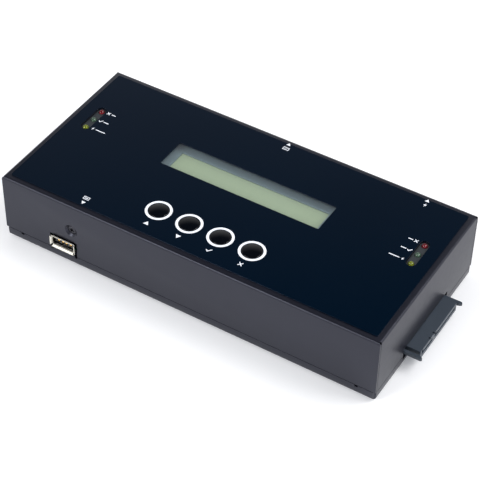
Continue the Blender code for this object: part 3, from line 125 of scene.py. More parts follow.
def add(tree, kind, links=None, values=None, **settings):
    """Adds a node of a kind to a tree, with its settings, its sockets' values and its incoming links."""
    node = tree.nodes.new(kind)
    for name, value in settings.items():
        setattr(node, name, value)
    for socket, value in (values or {}).items():
        node.inputs[socket].default_value = value
    for socket, source in (links or {}).items():
        tree.links.new(source, node.inputs[socket])
    return node


def finish_of(name, **values):
    """A new material, its tree and its Principled BSDF, with sockets set by name."""
    material = bpy.data.materials.new(name)
    material.use_nodes = True
    tree = material.node_tree
    shader = tree.nodes["Principled BSDF"]
    for socket, value in values.items():
        shader.inputs[socket.replace("_", " ")].default_value = value
    return material, tree, shader


def speckle(tree, size, detail=2.0):
    """Noise whose blotches are about size metres across, read from Object coordinates."""
    place = add(tree, "ShaderNodeTexCoord")
    return add(tree, "ShaderNodeTexNoise", {"Vector": place.outputs["Object"]},
               {"Scale": 0.5 / size, "Detail": detail}).outputs["Fac"]


def between(tree, factor, low, high):
    """A number that runs from low to high as factor goes from 0 to 1."""
    return add(tree, "ShaderNodeMapRange", {"Value": factor}, {"To Min": low, "To Max": high}).outputs[0]


def blend_colours(tree, factor, first, second):
    """A colour between two written ones."""
    mix = add(tree, "ShaderNodeMix", {"Factor": factor}, data_type="RGBA")
    for socket, colour in zip([s for s in mix.inputs if s.type == "RGBA"], (first, second)):
        socket.default_value = linear(colour)
    return next(s for s in mix.outputs if s.type == "RGBA")


def relief(tree, shader, height, depth):
    """Bumps on a shader, depth metres high, from a height between 0 and 1."""
    bump = add(tree, "ShaderNodeBump", {"Height": height}, {"Distance": depth, "Strength": 1.0})
    tree.links.new(bump.outputs["Normal"], shader.inputs["Normal"])


print("white is", linear("#FFFFFF")[:3])

# %% [markdown]
# The case is powder-coated steel. The powder melts into a satin skin about 0.08 mm thick with a
# faint orange peel, so its highlights are soft, slightly mottled, and lighter where it is seen at a
# grazing angle.

# %% Powder coat


def powder_coat():
    """Satin black polyester powder: IOR 1.5, roughness about 0.34, orange peel 0.7 mm across."""
    material, tree, shader = finish_of("powder_coated_steel", Roughness=0.34, IOR=1.5,
                                       Specular_Tint=linear("#E4E8FF"))
    tone = speckle(tree, 6 * MM, 3)
    tree.links.new(blend_colours(tree, tone, "#15161E", "#1B1C25"), shader.inputs["Base Color"])
    tree.links.new(between(tree, speckle(tree, 1.5 * MM), 0.30, 0.38), shader.inputs["Roughness"])
    relief(tree, shader, speckle(tree, 0.7 * MM), 0.012 * MM)
    return material


POWDER = powder_coat()
print("made", POWDER.name)

# %% [markdown]
# The lid's face is a film of polycarbonate, printed near-black on its underside. A clear smooth skin
# over dark ink acts almost like a mirror for bright things, and swallows the rest. The marks and the
# rings are white ink on top, and the display's window is a pane of clear acrylic.

# %% Overlay film, prints and lens


def overlay_film():
    """Back-printed polycarbonate: IOR 1.58 in the book, 1.5 here because the object mirrors less."""
    material, tree, shader = finish_of("printed_overlay_film", Roughness=0.10, IOR=1.5,
                                       Specular_Tint=linear("#D5DEFF"))
    tree.links.new(blend_colours(tree, speckle(tree, 45 * MM, 1), "#000B18", "#02101F"),
                   shader.inputs["Base Color"])
    tree.links.new(between(tree, speckle(tree, 4 * MM), 0.09, 0.13), shader.inputs["Roughness"])
    relief(tree, shader, speckle(tree, 0.5 * MM), 0.001 * MM)
    return material


def white_ink():
    """Screen-printed white ink: a matt film with the faint unevenness of the mesh, 0.3 mm across."""
    material, tree, shader = finish_of("white_screen_ink", Roughness=0.5, IOR=1.5)
    tree.links.new(blend_colours(tree, speckle(tree, 0.3 * MM), "#E4E9F4", "#F4F8FF"),
                   shader.inputs["Base Color"])
    return material


def clear_pane():
    """Anti-glare acrylic pane, too thin to bend the view: see-through, a mirror's share by Fresnel,
    and a twentieth of haze, which veils what lies behind it."""
    material, tree, shader = finish_of("clear_acrylic_pane")
    tree.nodes.remove(shader)
    mirror = add(tree, "ShaderNodeFresnel", values={"IOR": 1.49})
    side = add(tree, "ShaderNodeNewGeometry")
    share = add(tree, "ShaderNodeMath", {0: mirror.outputs[0], 1: side.outputs["Backfacing"]},
                operation="SUBTRACT", use_clamp=True)
    through = add(tree, "ShaderNodeBsdfTransparent", values={"Color": linear("#F4F8F6")})
    haze_share = 0.045
    wipe = between(tree, speckle(tree, 8 * MM), 0.02, 0.05)
    gloss = add(tree, "ShaderNodeBsdfGlossy", {"Roughness": wipe}, {"Color": (1, 1, 1, 1)})
    haze = add(tree, "ShaderNodeBsdfDiffuse", values={"Color": linear("#C9D6E4")})
    veiled = add(tree, "ShaderNodeMixShader", {1: through.outputs[0], 2: haze.outputs[0]},
                 {0: haze_share})
    both = add(tree, "ShaderNodeMixShader", {0: share.outputs[0], 1: veiled.outputs[0],
                                             2: gloss.outputs[0]})
    tree.links.new(both.outputs[0], tree.nodes["Material Output"].inputs["Surface"])
    return material


FILM, INK, PANE = overlay_film(), white_ink(), clear_pane()
print("made", FILM.name, INK.name, PANE.name)

# %% [markdown]
# The display is a reflective character type: yellow-green glass in a thin dark metal bezel, on a
# white light guide. The bezel's colour is painted lighter than that metal, as painted light for the
# lens' glare and against the shade under the lid. Unlit, its character cells show only as a faint grid.

# %% Display finishes


def display_glass():
    """Yellow-green rear polariser behind glass, with cells 3.4 by 5.7 mm a shade darker."""
    material, tree, shader = finish_of("display_glass_green", Roughness=0.22, IOR=1.5)
    place = add(tree, "ShaderNodeTexCoord")
    cells = add(tree, "ShaderNodeTexBrick", {"Vector": place.outputs["Object"]},
                {"Scale": 1.0, "Mortar Size": 0.35 * MM, "Mortar Smooth": 0.3, "Bias": 0.0,
                 "Brick Width": 4.1 * MM, "Row Height": 6.4 * MM,
                 "Color1": linear("#B7BEA6"), "Color2": linear("#B7BEA6"),
                 "Mortar": linear("#BBC2AA")}, offset=0.0)
    cloud = blend_colours(tree, speckle(tree, 25 * MM, 1), "#F4F4E4", "#FFFFFF")
    mix = add(tree, "ShaderNodeMix", data_type="RGBA", blend_type="MULTIPLY")
    colours = [s for s in mix.inputs if s.type == "RGBA"]
    mix.inputs[0].default_value = 1.0
    tree.links.new(cells.outputs["Color"], colours[0])
    tree.links.new(cloud, colours[1])
    tree.links.new(next(s for s in mix.outputs if s.type == "RGBA"), shader.inputs["Base Color"])
    return material


def bezel_metal_and_painted_light():
    """Steel bezel of the display, stamped and a little mottled. Its light grey-blue is partly the
    steel's own tone and partly painted light: it stands in for the lens' glare and lifts the shade under
    the lid's rear edge.
    """
    material, tree, shader = finish_of("display_bezel_steel_and_painted_light", Roughness=0.45, Metallic=0.3)
    # Painted light: this grey-blue is lighter than the dark steel, for the lens' glare and the shade under
    # the lid.
    tree.links.new(blend_colours(tree, speckle(tree, 3 * MM), "#84929F", "#95A3AF"),
                   shader.inputs["Base Color"])
    return material


GREEN_GLASS, BEZEL_AND_PAINTED_LIGHT = display_glass(), bezel_metal_and_painted_light()
print("made", GREEN_GLASS.name, BEZEL_AND_PAINTED_LIGHT.name)

# %% [markdown]
# The moulded parts differ mostly in gloss. A mould polished like glass gives the button caps their
# mirror; a spark-eroded one gives the connectors and holders a fine matt grain.

# %% Plastics and rubber


def moulded(name, dark, light, rough, grain=0.3, depth=0.004, ior=1.5):
    """A moulded plastic: two close tones, a roughness, and a grain in millimetres."""
    material, tree, shader = finish_of(name, Roughness=rough, IOR=ior)
    tree.links.new(blend_colours(tree, speckle(tree, 5 * MM, 3), dark, light), shader.inputs["Base Color"])
    tree.links.new(between(tree, speckle(tree, 1 * MM), rough * 0.85, rough * 1.15),
                   shader.inputs["Roughness"])
    relief(tree, shader, speckle(tree, grain * MM), depth * MM)
    return material


GLOSS_BLACK = moulded("glossy_black_abs", "#04060B", "#070A11", 0.14, 0.8, 0.001)
CONNECTOR = moulded("glass_filled_connector_plastic", "#363F4A", "#404955", 0.42)
HOLDER = moulded("grey_nylon", "#2A2F33", "#34393D", 0.5)
BLACK_PBT = moulded("black_pbt", "#141518", "#1B1C20", 0.45)
LIGHT_GUIDE = moulded("off_white_nylon", "#D8D6CC", "#E4E2D8", 0.45)
RUBBER = moulded("black_rubber", "#151515", "#1E1E1E", 0.8, 0.5, 0.02, 1.52)
RIBBON = moulded("grey_pvc_ribbon", "#8E8F92", "#9C9DA0", 0.5)
print("made seven moulded finishes")

# %% [markdown]
# The serial port and the USB tube are nickel-plated steel, bright but drawn through tools, so their
# gloss is a little uneven. The USB port's rolled lips are matt tin, which looks creamy white. Contacts
# are gold over nickel, and the screws are blackened steel.

# %% Metals


def plated(name, dark, light, rough, metallic=1.0):
    """A plated metal, its tone and gloss varied by fine noise."""
    material, tree, shader = finish_of(name, Metallic=metallic, Roughness=rough)
    tree.links.new(blend_colours(tree, speckle(tree, 2 * MM, 3), dark, light), shader.inputs["Base Color"])
    tree.links.new(between(tree, speckle(tree, 0.6 * MM, 4), rough * 0.85, rough * 1.15),
                   shader.inputs["Roughness"])
    relief(tree, shader, speckle(tree, 0.25 * MM), 0.001 * MM)
    return material


NICKEL = plated("bright_nickel_plate", "#DAD8D1", "#ECEAE4", 0.2)
GOLD = plated("gold_flash", "#B89258", "#CFAA6A", 0.28)
BLACK_STEEL = plated("blackened_steel", "#3C3C42", "#505056", 0.4)
TIN = plated("matt_tin_plate", "#EAE7DC", "#F6F3E8", 0.36, metallic=0.45)
print("made four metals")

# %% [markdown]
# A lamp is a drop of tinted epoxy. Unlit it looks dark, with one sharp highlight on its dome and a
# little of its colour glowing where light has passed through it.

# %% Lamp epoxies and board finishes


def epoxy(name, deep, bright):
    """Tinted clear epoxy: IOR 1.54, half its light let through, so the cup inside shows faintly."""
    material, tree, shader = finish_of(name, Roughness=0.05, IOR=1.54, Transmission_Weight=0.5)
    tree.links.new(blend_colours(tree, speckle(tree, 0.8 * MM, 1), deep, bright),
                   shader.inputs["Base Color"])
    return material


EPOXY = {"fail": epoxy("red_epoxy", "#6A1420", "#8E2632"),
         "pass": epoxy("pale_green_epoxy", "#3F5C4B", "#64806E"),
         "powered": epoxy("yellow_green_epoxy", "#6E7A1C", "#9CA838")}


def board_mask():
    """Green solder mask over copper: traces show as a lighter weave, 1.2 mm apart."""
    material, tree, shader = finish_of("green_solder_mask", Roughness=0.35, IOR=1.5)
    place = add(tree, "ShaderNodeTexCoord")
    traces = add(tree, "ShaderNodeTexBrick", {"Vector": place.outputs["Object"]},
                 {"Scale": 1.0, "Mortar Size": 0.15 * MM, "Brick Width": 6 * MM, "Row Height": 1.2 * MM,
                  "Color1": linear("#0D4A2A"), "Color2": linear("#0F5230"),
                  "Mortar": linear("#1C6E42")})
    tree.links.new(traces.outputs["Color"], shader.inputs["Base Color"])
    relief(tree, shader, traces.outputs["Fac"], 0.02 * MM)
    return material


MASK = board_mask()
print("made", len(EPOXY), "epoxies and", MASK.name)

# %% [markdown]
# A CAD node whose shape is right keeps it and only gets its finish. The node's own mesh is never
# touched, so a modifier welds its loose triangles and shades its folds smooth.

# %% Finishes on the CAD nodes
FINISH_BY_NODE = {
    "top_cover": POWDER, "base_tray": POWDER, "graphic_overlay": FILM, "display_lens": PANE,
    "display_glass": GREEN_GLASS, "display_frame": BEZEL_AND_PAINTED_LIGHT, "display_backlight": LIGHT_GUIDE,
    "display_board": MASK, "display_header": BLACK_PBT, "main_board": MASK, "panel_board": MASK,
    "controller_chip": BLACK_PBT, "board_link_ribbon": RIBBON, "usb_shell": NICKEL,
    "usb_tongue": BLACK_PBT, "serial_shell": NICKEL, "serial_insulator": BLACK_PBT,
    "power_jack_body": BLACK_PBT, "power_jack_pin": NICKEL, "front_case_screw": BLACK_STEEL,
}
FINISH_BY_START = {
    "button_cap": GLOSS_BLACK, "switch_": BLACK_PBT, "lamp_holder": HOLDER, "rear_case_screw": BLACK_STEEL,
    "main_board_screw": NICKEL, "panel_board_screw": NICKEL, "rubber_foot": RUBBER,
    "serial_jackscrew": NICKEL, "drive_connector": CONNECTOR, "lamp_fail": EPOXY["fail"],
    "lamp_pass": EPOXY["pass"], "lamp_powered": EPOXY["powered"],
}


def finish_for(node):
    """The finish of a CAD node, by its name or by how its name starts."""
    if node in FINISH_BY_NODE:
        return FINISH_BY_NODE[node]
    return next(finish for start, finish in FINISH_BY_START.items() if node.startswith(start))


def smooth_group():
    """A geometry-node group that welds loose triangles and shades edges under 35 degrees smooth."""
    group = bpy.data.node_groups.new("weld_and_smooth", "GeometryNodeTree")
    group.interface.new_socket("Geometry", in_out="INPUT", socket_type="NodeSocketGeometry")
    group.interface.new_socket("Geometry", in_out="OUTPUT", socket_type="NodeSocketGeometry")
    start, end = add(group, "NodeGroupInput"), add(group, "NodeGroupOutput")
    weld = add(group, "GeometryNodeMergeByDistance", {"Geometry": start.outputs[0]},
               {"Distance": 0.001 * MM})
    angle = add(group, "GeometryNodeInputMeshEdgeAngle")
    gentle = add(group, "FunctionNodeCompare", {0: angle.outputs["Unsigned Angle"]},
                 {1: math.radians(35)}, operation="LESS_THAN")
    faces = add(group, "GeometryNodeSetShadeSmooth", {"Geometry": weld.outputs[0]},
                {"Shade Smooth": True}, domain="FACE")
    edges = add(group, "GeometryNodeSetShadeSmooth",
                {"Geometry": faces.outputs[0], "Shade Smooth": gentle.outputs[0]}, domain="EDGE")
    group.links.new(edges.outputs[0], end.inputs[0])
    return group


WELD_AND_SMOOTH = smooth_group()
for name, obj in NODES.items():
    obj.data.materials.clear()
    obj.data.materials.append(finish_for(name))
    obj.modifiers.new("weld_and_smooth", "NODES").node_group = WELD_AND_SMOOTH
print("finished", len(NODES), "CAD nodes")

# %% [markdown]
# No real edge is perfectly sharp: powder rounds the edge of a sheet, and a mould has a radius. The
# flat faces' triangles are joined first, so that the bevel runs only along true edges. A highlight
# then lies along each seam and fold.

# %% Broken edges
EDGE_WIDTH = {"top_cover": 0.15 * MM, "base_tray": 0.15 * MM, "drive_connector_left": 0.12 * MM,
              "drive_connector_right": 0.12 * MM, "graphic_overlay": 0.06 * MM}
for name, width in EDGE_WIDTH.items():
    flat = NODES[name].modifiers.new("join_flat_faces", "DECIMATE")
    flat.decimate_type, flat.angle_limit = "DISSOLVE", math.radians(1)
    worn = NODES[name].modifiers.new("broken_edges", "BEVEL")
    worn.width, worn.segments, worn.angle_limit = width, 2, math.radians(40)
    worn.harden_normals = True
print("bevelled", len(EDGE_WIDTH), "CAD nodes")

# %% [markdown]
# A new piece is a grid of points: rows along a profile, columns along a path. Quads join neighbours,
# and a welded pole or seam closes it. One helper turns such grids into an object that rides on a body.

# %% Mesh helpers


def quads(rows, columns, wrap_rows=False, wrap_columns=False):
    """Corner numbers of the quads of a grid: point [i, j] is number i * columns + j."""
    index = np.arange(rows * columns).reshape(rows, columns)
    if wrap_columns:
        index = np.hstack([index, index[:, :1]])
    if wrap_rows:
        index = np.vstack([index, index[:1]])
    return np.stack([index[:-1, :-1], index[:-1, 1:], index[1:, 1:], index[1:, :-1]], -1).reshape(-1, 4)


def joined(parts):
    """Several (points, faces) as one, with the later faces' numbers moved up."""
    points, faces, start = [], [], 0
    for some_points, some_faces in parts:
        points.append(np.asarray(some_points, float).reshape(-1, 3))
        faces += [[int(i) + start for i in face] for face in some_faces]
        start += len(points[-1])
    return np.vstack(points), faces


def object_of(name, parts, material, body, replaced=(), smooth=True):
    """A welded object with outward faces, riding on a body, standing for the replaced CAD nodes."""
    points, faces = joined(parts)
    mesh = bpy.data.meshes.new(name)
    mesh.from_pydata(points.tolist(), [], faces)
    bm = bmesh.new()
    bm.from_mesh(mesh)
    bmesh.ops.remove_doubles(bm, verts=bm.verts, dist=0.0005 * MM)
    bmesh.ops.recalc_face_normals(bm, faces=bm.faces)
    bm.to_mesh(mesh)
    bm.free()
    mesh.materials.append(material)
    obj = bpy.data.objects.new(name, mesh)
    bpy.context.scene.collection.objects.link(obj)
    if smooth:
        obj.modifiers.new("weld_and_smooth", "NODES").node_group = WELD_AND_SMOOTH
    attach(obj, body)
    if replaced:
        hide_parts(*replaced)
    print("made", name, len(mesh.polygons), "faces")
    return obj


def spun(profile, place, steps):
    """A profile of (radius, height) turned about Z: point = (r cos t, r sin t, h), t going round."""
    radius, height = np.asarray(profile, float).T
    angle = np.arange(steps) * math.tau / steps
    grid = np.stack([radius[:, None] * np.cos(angle), radius[:, None] * np.sin(angle),
                     height[:, None] * np.ones(steps)], -1)
    return grid.reshape(-1, 3) + np.array(place), quads(len(radius), steps, wrap_columns=True)


def prism(outline, low, high):
    """A flat outline given thickness: its loop at two heights, joined by quads, and two end faces."""
    outline = np.asarray(outline, float)
    count = len(outline)
    loops = [np.column_stack([outline, np.full(count, z)]) for z in (low, high)]
    sides = quads(2, count, wrap_columns=True)
    return np.vstack(loops), [*sides.tolist(), list(range(count))[::-1], list(range(count, 2 * count))]


def arc(radius, start, end, steps):
    """Points (r cos t, r sin t) for t from start to end degrees."""
    angle = np.radians(np.linspace(start, end, steps))
    return np.stack([radius * np.cos(angle), radius * np.sin(angle)], -1)


# %% [markdown]
# The legends are screen-printed on the film. They are plain pictures in place of words: triangles,
# ticks, crosses, bolts and sockets. Ink is a layer about 0.03 mm thick, so each mark is a very low
# prism on the film.

# %% Printed rings and pictures
INK_TOP = INK_BASE + 0.03 * MM
RING_INNER, RING_OUTER = 5.32 * MM, 6.6 * MM
MARK_OFFSET = 10.2 * MM


def ring(place):
    """A flat ring: a low rectangle of four corners turned about the button's axis."""
    profile = [(RING_INNER, INK_BASE), (RING_INNER, INK_TOP), (RING_OUTER, INK_TOP),
               (RING_OUTER, INK_BASE), (RING_INNER, INK_BASE)]
    return spun(profile, (place.x, place.y, 0), steps=96)


def picture(outline, x, y, size=1.0, turn=0.0):
    """A mark drawn in millimetres about its own middle, scaled, turned and set at (x, y) on the film."""
    c, s = math.cos(math.radians(turn)), math.sin(math.radians(turn))
    points = np.asarray(outline, float) @ np.array([[c, s], [-s, c]]) * size * MM
    return prism(points + np.array([x, y]), INK_BASE, INK_TOP)


def stroke(points, width):
    """The outline of a bent line of even width: each point moved along its corner's bisector."""
    points = np.asarray(points, float)
    along = np.diff(points, axis=0)
    along /= np.linalg.norm(along, axis=1)[:, None]
    before, after = np.vstack([along[:1], along]), np.vstack([along, along[-1:]])
    side = np.column_stack([-(before + after)[:, 1], (before + after)[:, 0]])
    side /= ((before + after) ** 2).sum(1)[:, None] / 2
    return np.vstack([points + side * width / 2, (points - side * width / 2)[::-1]])


TICK = stroke([(-1.0, 0), (-0.3, -0.75), (1.1, 0.85)], 0.4)
CROSS = [(0.19, 0.19), (1.2, 0.19), (1.2, -0.19), (0.19, -0.19), (0.19, -1.2), (-0.19, -1.2),
         (-0.19, -0.19), (-1.2, -0.19), (-1.2, 0.19), (-0.19, 0.19), (-0.19, 1.2), (0.19, 1.2)]
TRIANGLE = [(-1.15, -0.85), (1.15, -0.85), (0, 1.0)]
BOLT = [(0.35, 1.1), (-0.7, -0.15), (-0.05, -0.15), (-0.35, -1.1), (0.7, 0.2), (0.05, 0.2)]
SOCKET = stroke([(0, 0.75), (1.3, 0.75), (1.3, -0.75), (-1.3, -0.75), (-1.3, 0.75), (-0.001, 0.75)], 0.28)
BAR = [(-0.8, -0.2), (0.8, -0.2), (0.8, 0.2), (-0.8, 0.2)]


def button_marks():
    """A picture in front of each button: up, down, tick and cross."""
    pictures = {"up": (TRIANGLE, 0), "down": (TRIANGLE, 180), "ok": (TICK, 0), "esc": (CROSS, 45)}
    marks = []
    for name in BUTTONS:
        place, (outline, turn) = centre("button_cap_" + name), pictures[name]
        marks.append(picture(outline, place.x, place.y - MARK_OFFSET, 1.2, turn))
    return marks


def lamp_marks():
    """A picture and a leader line beside each lamp, on the side of the panel's middle."""
    pictures = {"fail": (CROSS, 45, 2.4), "pass": (TICK, 0, 2.8), "powered": (BOLT, 0, 5.4)}
    picture_offset, line_gap, line_weight = 4.4 * MM, 1.7, 0.5
    marks = []
    for side_name, side in SIDES:
        for name in LAMPS:
            place, (outline, turn, line) = centre(f"lamp_{name}_{side_name}"), pictures[name]
            near = place.x - side * picture_offset
            marks.append(picture(outline, near, place.y, 1.0, turn))
            middle = near - side * (line_gap + line / 2) * MM
            marks.append(picture(stroke([(-line / 2, 0), (line / 2, 0)], line_weight), middle, place.y))
    return marks


def port_marks():
    """A triangle that points to each port, with a picture of what the port is for: a socket with three
    pins for the serial port, a bolt for power, and a socket with a bar for USB."""
    serial, power, usb = (2.1, 41.8), (78.5, 41.6), (-59.2, -40.3)
    arrows = [(1.8, 45.3, 0), (78.2, 45.0, 0), (-58.9, -43.7, 180)]
    pin = [(-0.12, -0.35), (0.12, -0.35), (0.12, 0.35), (-0.12, 0.35)]
    plan = [(TRIANGLE, (x, y), 1.0, turn) for x, y, turn in arrows]
    plan += [(SOCKET, serial, 1.15, 0), (BOLT, power, 1.2, 0), (SOCKET, usb, 1.15, 0), (BAR, usb, 1.15, 0)]
    plan += [(pin, (serial[0] + 0.62 * i, serial[1]), 1.0, 0) for i in (-1, 0, 1)]
    return [picture(outline, x * MM, CASE_Y + y * MM, size, turn) for outline, (x, y), size, turn in plan]


rings = [ring(centre("button_cap_" + name)) for name in BUTTONS]
object_of("printed_rings", rings, INK, "case")
object_of("printed_pictures", button_marks() + lamp_marks() + port_marks(), INK, "case",
          smooth=False)

# %% [markdown]
# The caps are polished black discs with a shallow crown. The crown tips away at its rim, so its far
# side mirrors the pale room and its near side stays black, which is what makes a cap look round.
# Under the lid, a rim keeps the cap in its hole, and a hollow stem reaches down to the switch.

# %% Button caps


def cap_profile(node):
    """From the middle: crown z = edge + rise (1 - (r / R)^2), a fillet that is a quarter circle, the
    side, the rim that keeps the cap in, and the hollow stem."""
    low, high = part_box(node)
    radius, rise, fillet = 4.85 * MM, 0.55 * MM, 0.3 * MM
    stem, hollow = 2.9 * MM, 2.0 * MM
    edge = high.z - 0.9 * MM
    r = np.linspace(0, radius - fillet, 24)
    crown = np.column_stack([r, edge + rise * (1 - (r / radius) ** 2)])
    top = crown[-1, 1]
    rounded = arc(1, 90, 0, 8)[1:] * [fillet, fillet] + [radius - fillet, top - fillet]
    rim, rim_top = radius + 1 * MM, LID_HIGH.z - 1.3 * MM
    rim_bottom, hollow_top = rim_top - 0.8 * MM, low.z + 2.3 * MM
    below = [(radius, rim_top), (rim, rim_top), (rim, rim_bottom), (stem, rim_bottom), (stem, low.z),
             (hollow, low.z), (hollow, hollow_top), (0, hollow_top)]
    return np.vstack([crown, rounded, below])


for name in BUTTONS:
    node = "button_cap_" + name
    place = centre(node)
    object_of(f"polished_cap_{name}", [spun(cap_profile(node), (place.x, place.y, 0), steps=96)],
              GLOSS_BLACK, f"button_{name}", [node])

# %% [markdown]
# Each lamp is a 3 mm epoxy drop on a small flange. The dome is a half circle turned about the lamp's
# axis, and inside it stands the little metal cup that holds the chip.

# %% Lamps
LAMP_HEIGHT = 5.3 * MM


def lamp_profile(node):
    """Half circle of radius R over a straight side, a flange, and a flat foot."""
    low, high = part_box(node)
    radius, flange = 1.5 * MM, 1.9 * MM
    foot = high.z - LAMP_HEIGHT
    dome = arc(radius, 90, 0, 20) + np.array([0, high.z - radius])
    return np.vstack([dome, [(radius, foot + 1 * MM), (flange, foot + 1 * MM), (flange, foot), (0, foot)]])


def lamp_leads(place, low, high):
    """Two square wires 2.54 mm apart, as prisms from the foot of the lamp to the board."""
    half = 0.25 * MM
    return [prism([(place.x - half, place.y + s - half), (place.x + half, place.y + s - half),
                   (place.x + half, place.y + s + half), (place.x - half, place.y + s + half)], low, high)
            for s in (-1.27 * MM, 1.27 * MM)]


def lamp_cup(place, top):
    """The reflector cup on its post, turned about the lamp's axis, 1.7 mm under the dome's top."""
    r, h = (np.array([(0, -2.0), (0.3, -2.0), (0.62, -1.65), (0.72, -1.65), (0.45, -2.6), (0.3, -4.6),
                      (0, -4.6)]) * MM).T
    return spun(np.column_stack([r, h + top]), (place.x, place.y, 0), steps=24)


for side_name, side in SIDES:
    nodes = [f"lamp_{name}_{side_name}" for name in LAMPS]
    object_of(f"lamp_cups_{side_name}", [lamp_cup(centre(node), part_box(node)[1].z) for node in nodes],
              NICKEL, "case")
    for name, node in zip(LAMPS, nodes):
        place, (low, high) = centre(node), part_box(node)
        object_of(f"epoxy_{name}_{side_name}", [spun(lamp_profile(node), (place.x, place.y, 0), steps=48)],
                  EPOXY[name], "case", [node])
        object_of(f"leads_{name}_{side_name}", lamp_leads(place, low.z, high.z - LAMP_HEIGHT), NICKEL,
                  "case", smooth=False)

# %% [markdown]
# The case screws sit deep in their countersinks, so each shows a dark crescent round a small head.
# The head's face is one polar grid: a low dome whose height drops where a point lies in the cross
# recess, with sloping walls that catch a highlight of their own.

# %% Case screws


def screw_grid(rings_out=48, steps=96):
    """Head face: a low dome h = 0.25 mm (1 - (r / R)^2), less a cross recess 1.1 mm deep whose walls
    slope; then the rim's rounding, the cone down to the shank, and the shank."""
    radius, sink = 2.15 * MM, 0.95 * MM
    r = np.linspace(0, radius - 0.2 * MM, rings_out)[:, None]
    t = (np.arange(steps) * math.tau / steps)[None, :]
    x, y = r * np.cos(t + math.radians(20)), r * np.sin(t + math.radians(20))
    across, along = np.minimum(abs(x), abs(y)), np.maximum(abs(x), abs(y))
    recess = (np.clip((0.38 * MM - across) / (0.14 * MM), 0, 1)
              * np.clip((1.35 * MM - along) / (0.5 * MM), 0, 1))
    dome = 0.25 * MM * (1 - (r / radius) ** 2)
    face = np.stack([r * np.cos(t), r * np.sin(t), dome - sink - 1.0 * MM * recess], -1)
    start = float(dome[-1, 0]) - sink
    edge = arc(0.2 * MM, 90, 0, 6)[1:] + np.array([radius - 0.2 * MM, start - 0.2 * MM])
    rows = np.vstack([edge, [(radius, -sink - 0.25 * MM), (1.4 * MM, -1.8 * MM), (1.4 * MM, -5.9 * MM),
                             (0, -5.9 * MM)]])
    body = np.stack([rows[:, :1] * np.cos(t), rows[:, :1] * np.sin(t),
                     rows[:, 1:] * np.ones_like(t)], -1)
    grid = np.concatenate([face, body])
    return grid, quads(len(grid), steps, wrap_columns=True)


def case_screw(node, side):
    """The screw lying along Y in its countersink, its face looking out of the wall: side is -1 at the
    front, and height 0 of the grid is the wall's outer face."""
    grid, faces = screw_grid()
    wall = FRONT_Y if side < 0 else BACK_Y
    points = np.stack([grid[..., 0] + centre(node).x, wall + side * grid[..., 2],
                       grid[..., 1] + centre(node).z], -1)
    return points.reshape(-1, 3), faces


for node, side in (("front_case_screw", -1), ("rear_case_screw_left", 1), ("rear_case_screw_right", 1)):
    object_of(node.replace("case_screw", "recessed_screw"), [case_screw(node, side)], BLACK_STEEL,
              "case", [node])

# %% [markdown]
# The USB port is a drawn tube of plated steel. Its mouth is slit at the corners into four lips, and
# each lip is rolled outwards like the rim of a trumpet. A roll is an arc carried along its side of
# the mouth, so the tube and the lips are all small grids.

# %% USB port
USB_PLACE = Vector((centre("usb_shell").x, FRONT_Y, centre("usb_shell").z))
USB_HALF = (6.55 * MM, 2.85 * MM)
USB_MOUTH = -0.15 * MM


def rounded_loop(half_width, half_height, radius, steps=6):
    """A rectangle's outline with round corners: four quarter circles, one after another."""
    corners = [(half_width - radius, half_height - radius), (radius - half_width, half_height - radius),
               (radius - half_width, radius - half_height), (half_width - radius, radius - half_height)]
    return np.vstack([arc(radius, 90 * i, 90 * i + 90, steps) + corner for i, corner in enumerate(corners)])


def usb_tube():
    """Loops of (across, up) at depths behind the wall: the back's middle, the outside from back to
    mouth, the inside from mouth to back, and the back's middle again."""
    outer = rounded_loop(*USB_HALF, 0.7 * MM)
    inner = rounded_loop(USB_HALF[0] - 0.3 * MM, USB_HALF[1] - 0.3 * MM, 0.4 * MM)
    back, bottom = 13.5 * MM, 13.2 * MM
    rows = [(outer * 0, back), (outer, back), (outer, USB_MOUTH), (inner, USB_MOUTH), (inner, bottom),
            (inner * 0, bottom)]
    grid = np.stack([np.column_stack([loop[:, 0], np.full(len(loop), depth), loop[:, 1]])
                     for loop, depth in rows])
    return grid.reshape(-1, 3) + USB_PLACE, quads(len(rows), len(outer), wrap_columns=True)


def usb_lip(half_length, offset, sideways, sign):
    """A rolled lip: reach = R - rho cos a and out = rho sin a, with rho = R on its back, R + 0.3 mm on
    its face, a from 0 to 80 degrees; it widens by nine tenths of its reach at each end."""
    roll, sheet = 0.9 * MM, 0.3 * MM
    steps, columns = 10, 9
    a = np.radians(np.linspace(0, 80, steps))
    rho = np.repeat([roll, roll + sheet], steps)
    a = np.concatenate([a, a[::-1]])
    reach, out = roll - rho * np.cos(a), rho * np.sin(a)
    s = np.linspace(-1, 1, columns)[None, :]
    along = (half_length + 0.9 * np.maximum(reach, 0))[:, None] * s
    away = sign * (offset + reach)[:, None] * np.ones_like(s)
    depth = (USB_MOUTH - out)[:, None] * np.ones_like(s)
    grid = np.stack([away, depth, along] if sideways else [along, depth, away], -1)
    faces = quads(2 * steps, columns, wrap_rows=True).tolist()
    for column in (0, columns - 1):
        end = [row * columns + column for row in range(2 * steps)]
        faces += [[end[i], end[i + 1], end[-2 - i], end[-1 - i]] for i in range(steps - 1)]
    return grid.reshape(-1, 3) + USB_PLACE, faces


def usb_tongue():
    """A side outline of (in, up) points given its width: a bar with a blunt front and a block behind."""
    outline = np.array([(1.2, -1.6), (1.45, -1.85), (11.4, -1.85), (11.4, -2.4), (13.1, -2.4), (13.1, 2.4),
                        (11.4, 2.4), (11.4, 0.05), (1.45, 0.05), (1.2, -0.2)]) * MM
    points, faces = prism(outline, -5.5 * MM, 5.5 * MM)
    return points[:, [2, 0, 1]] + USB_PLACE, faces


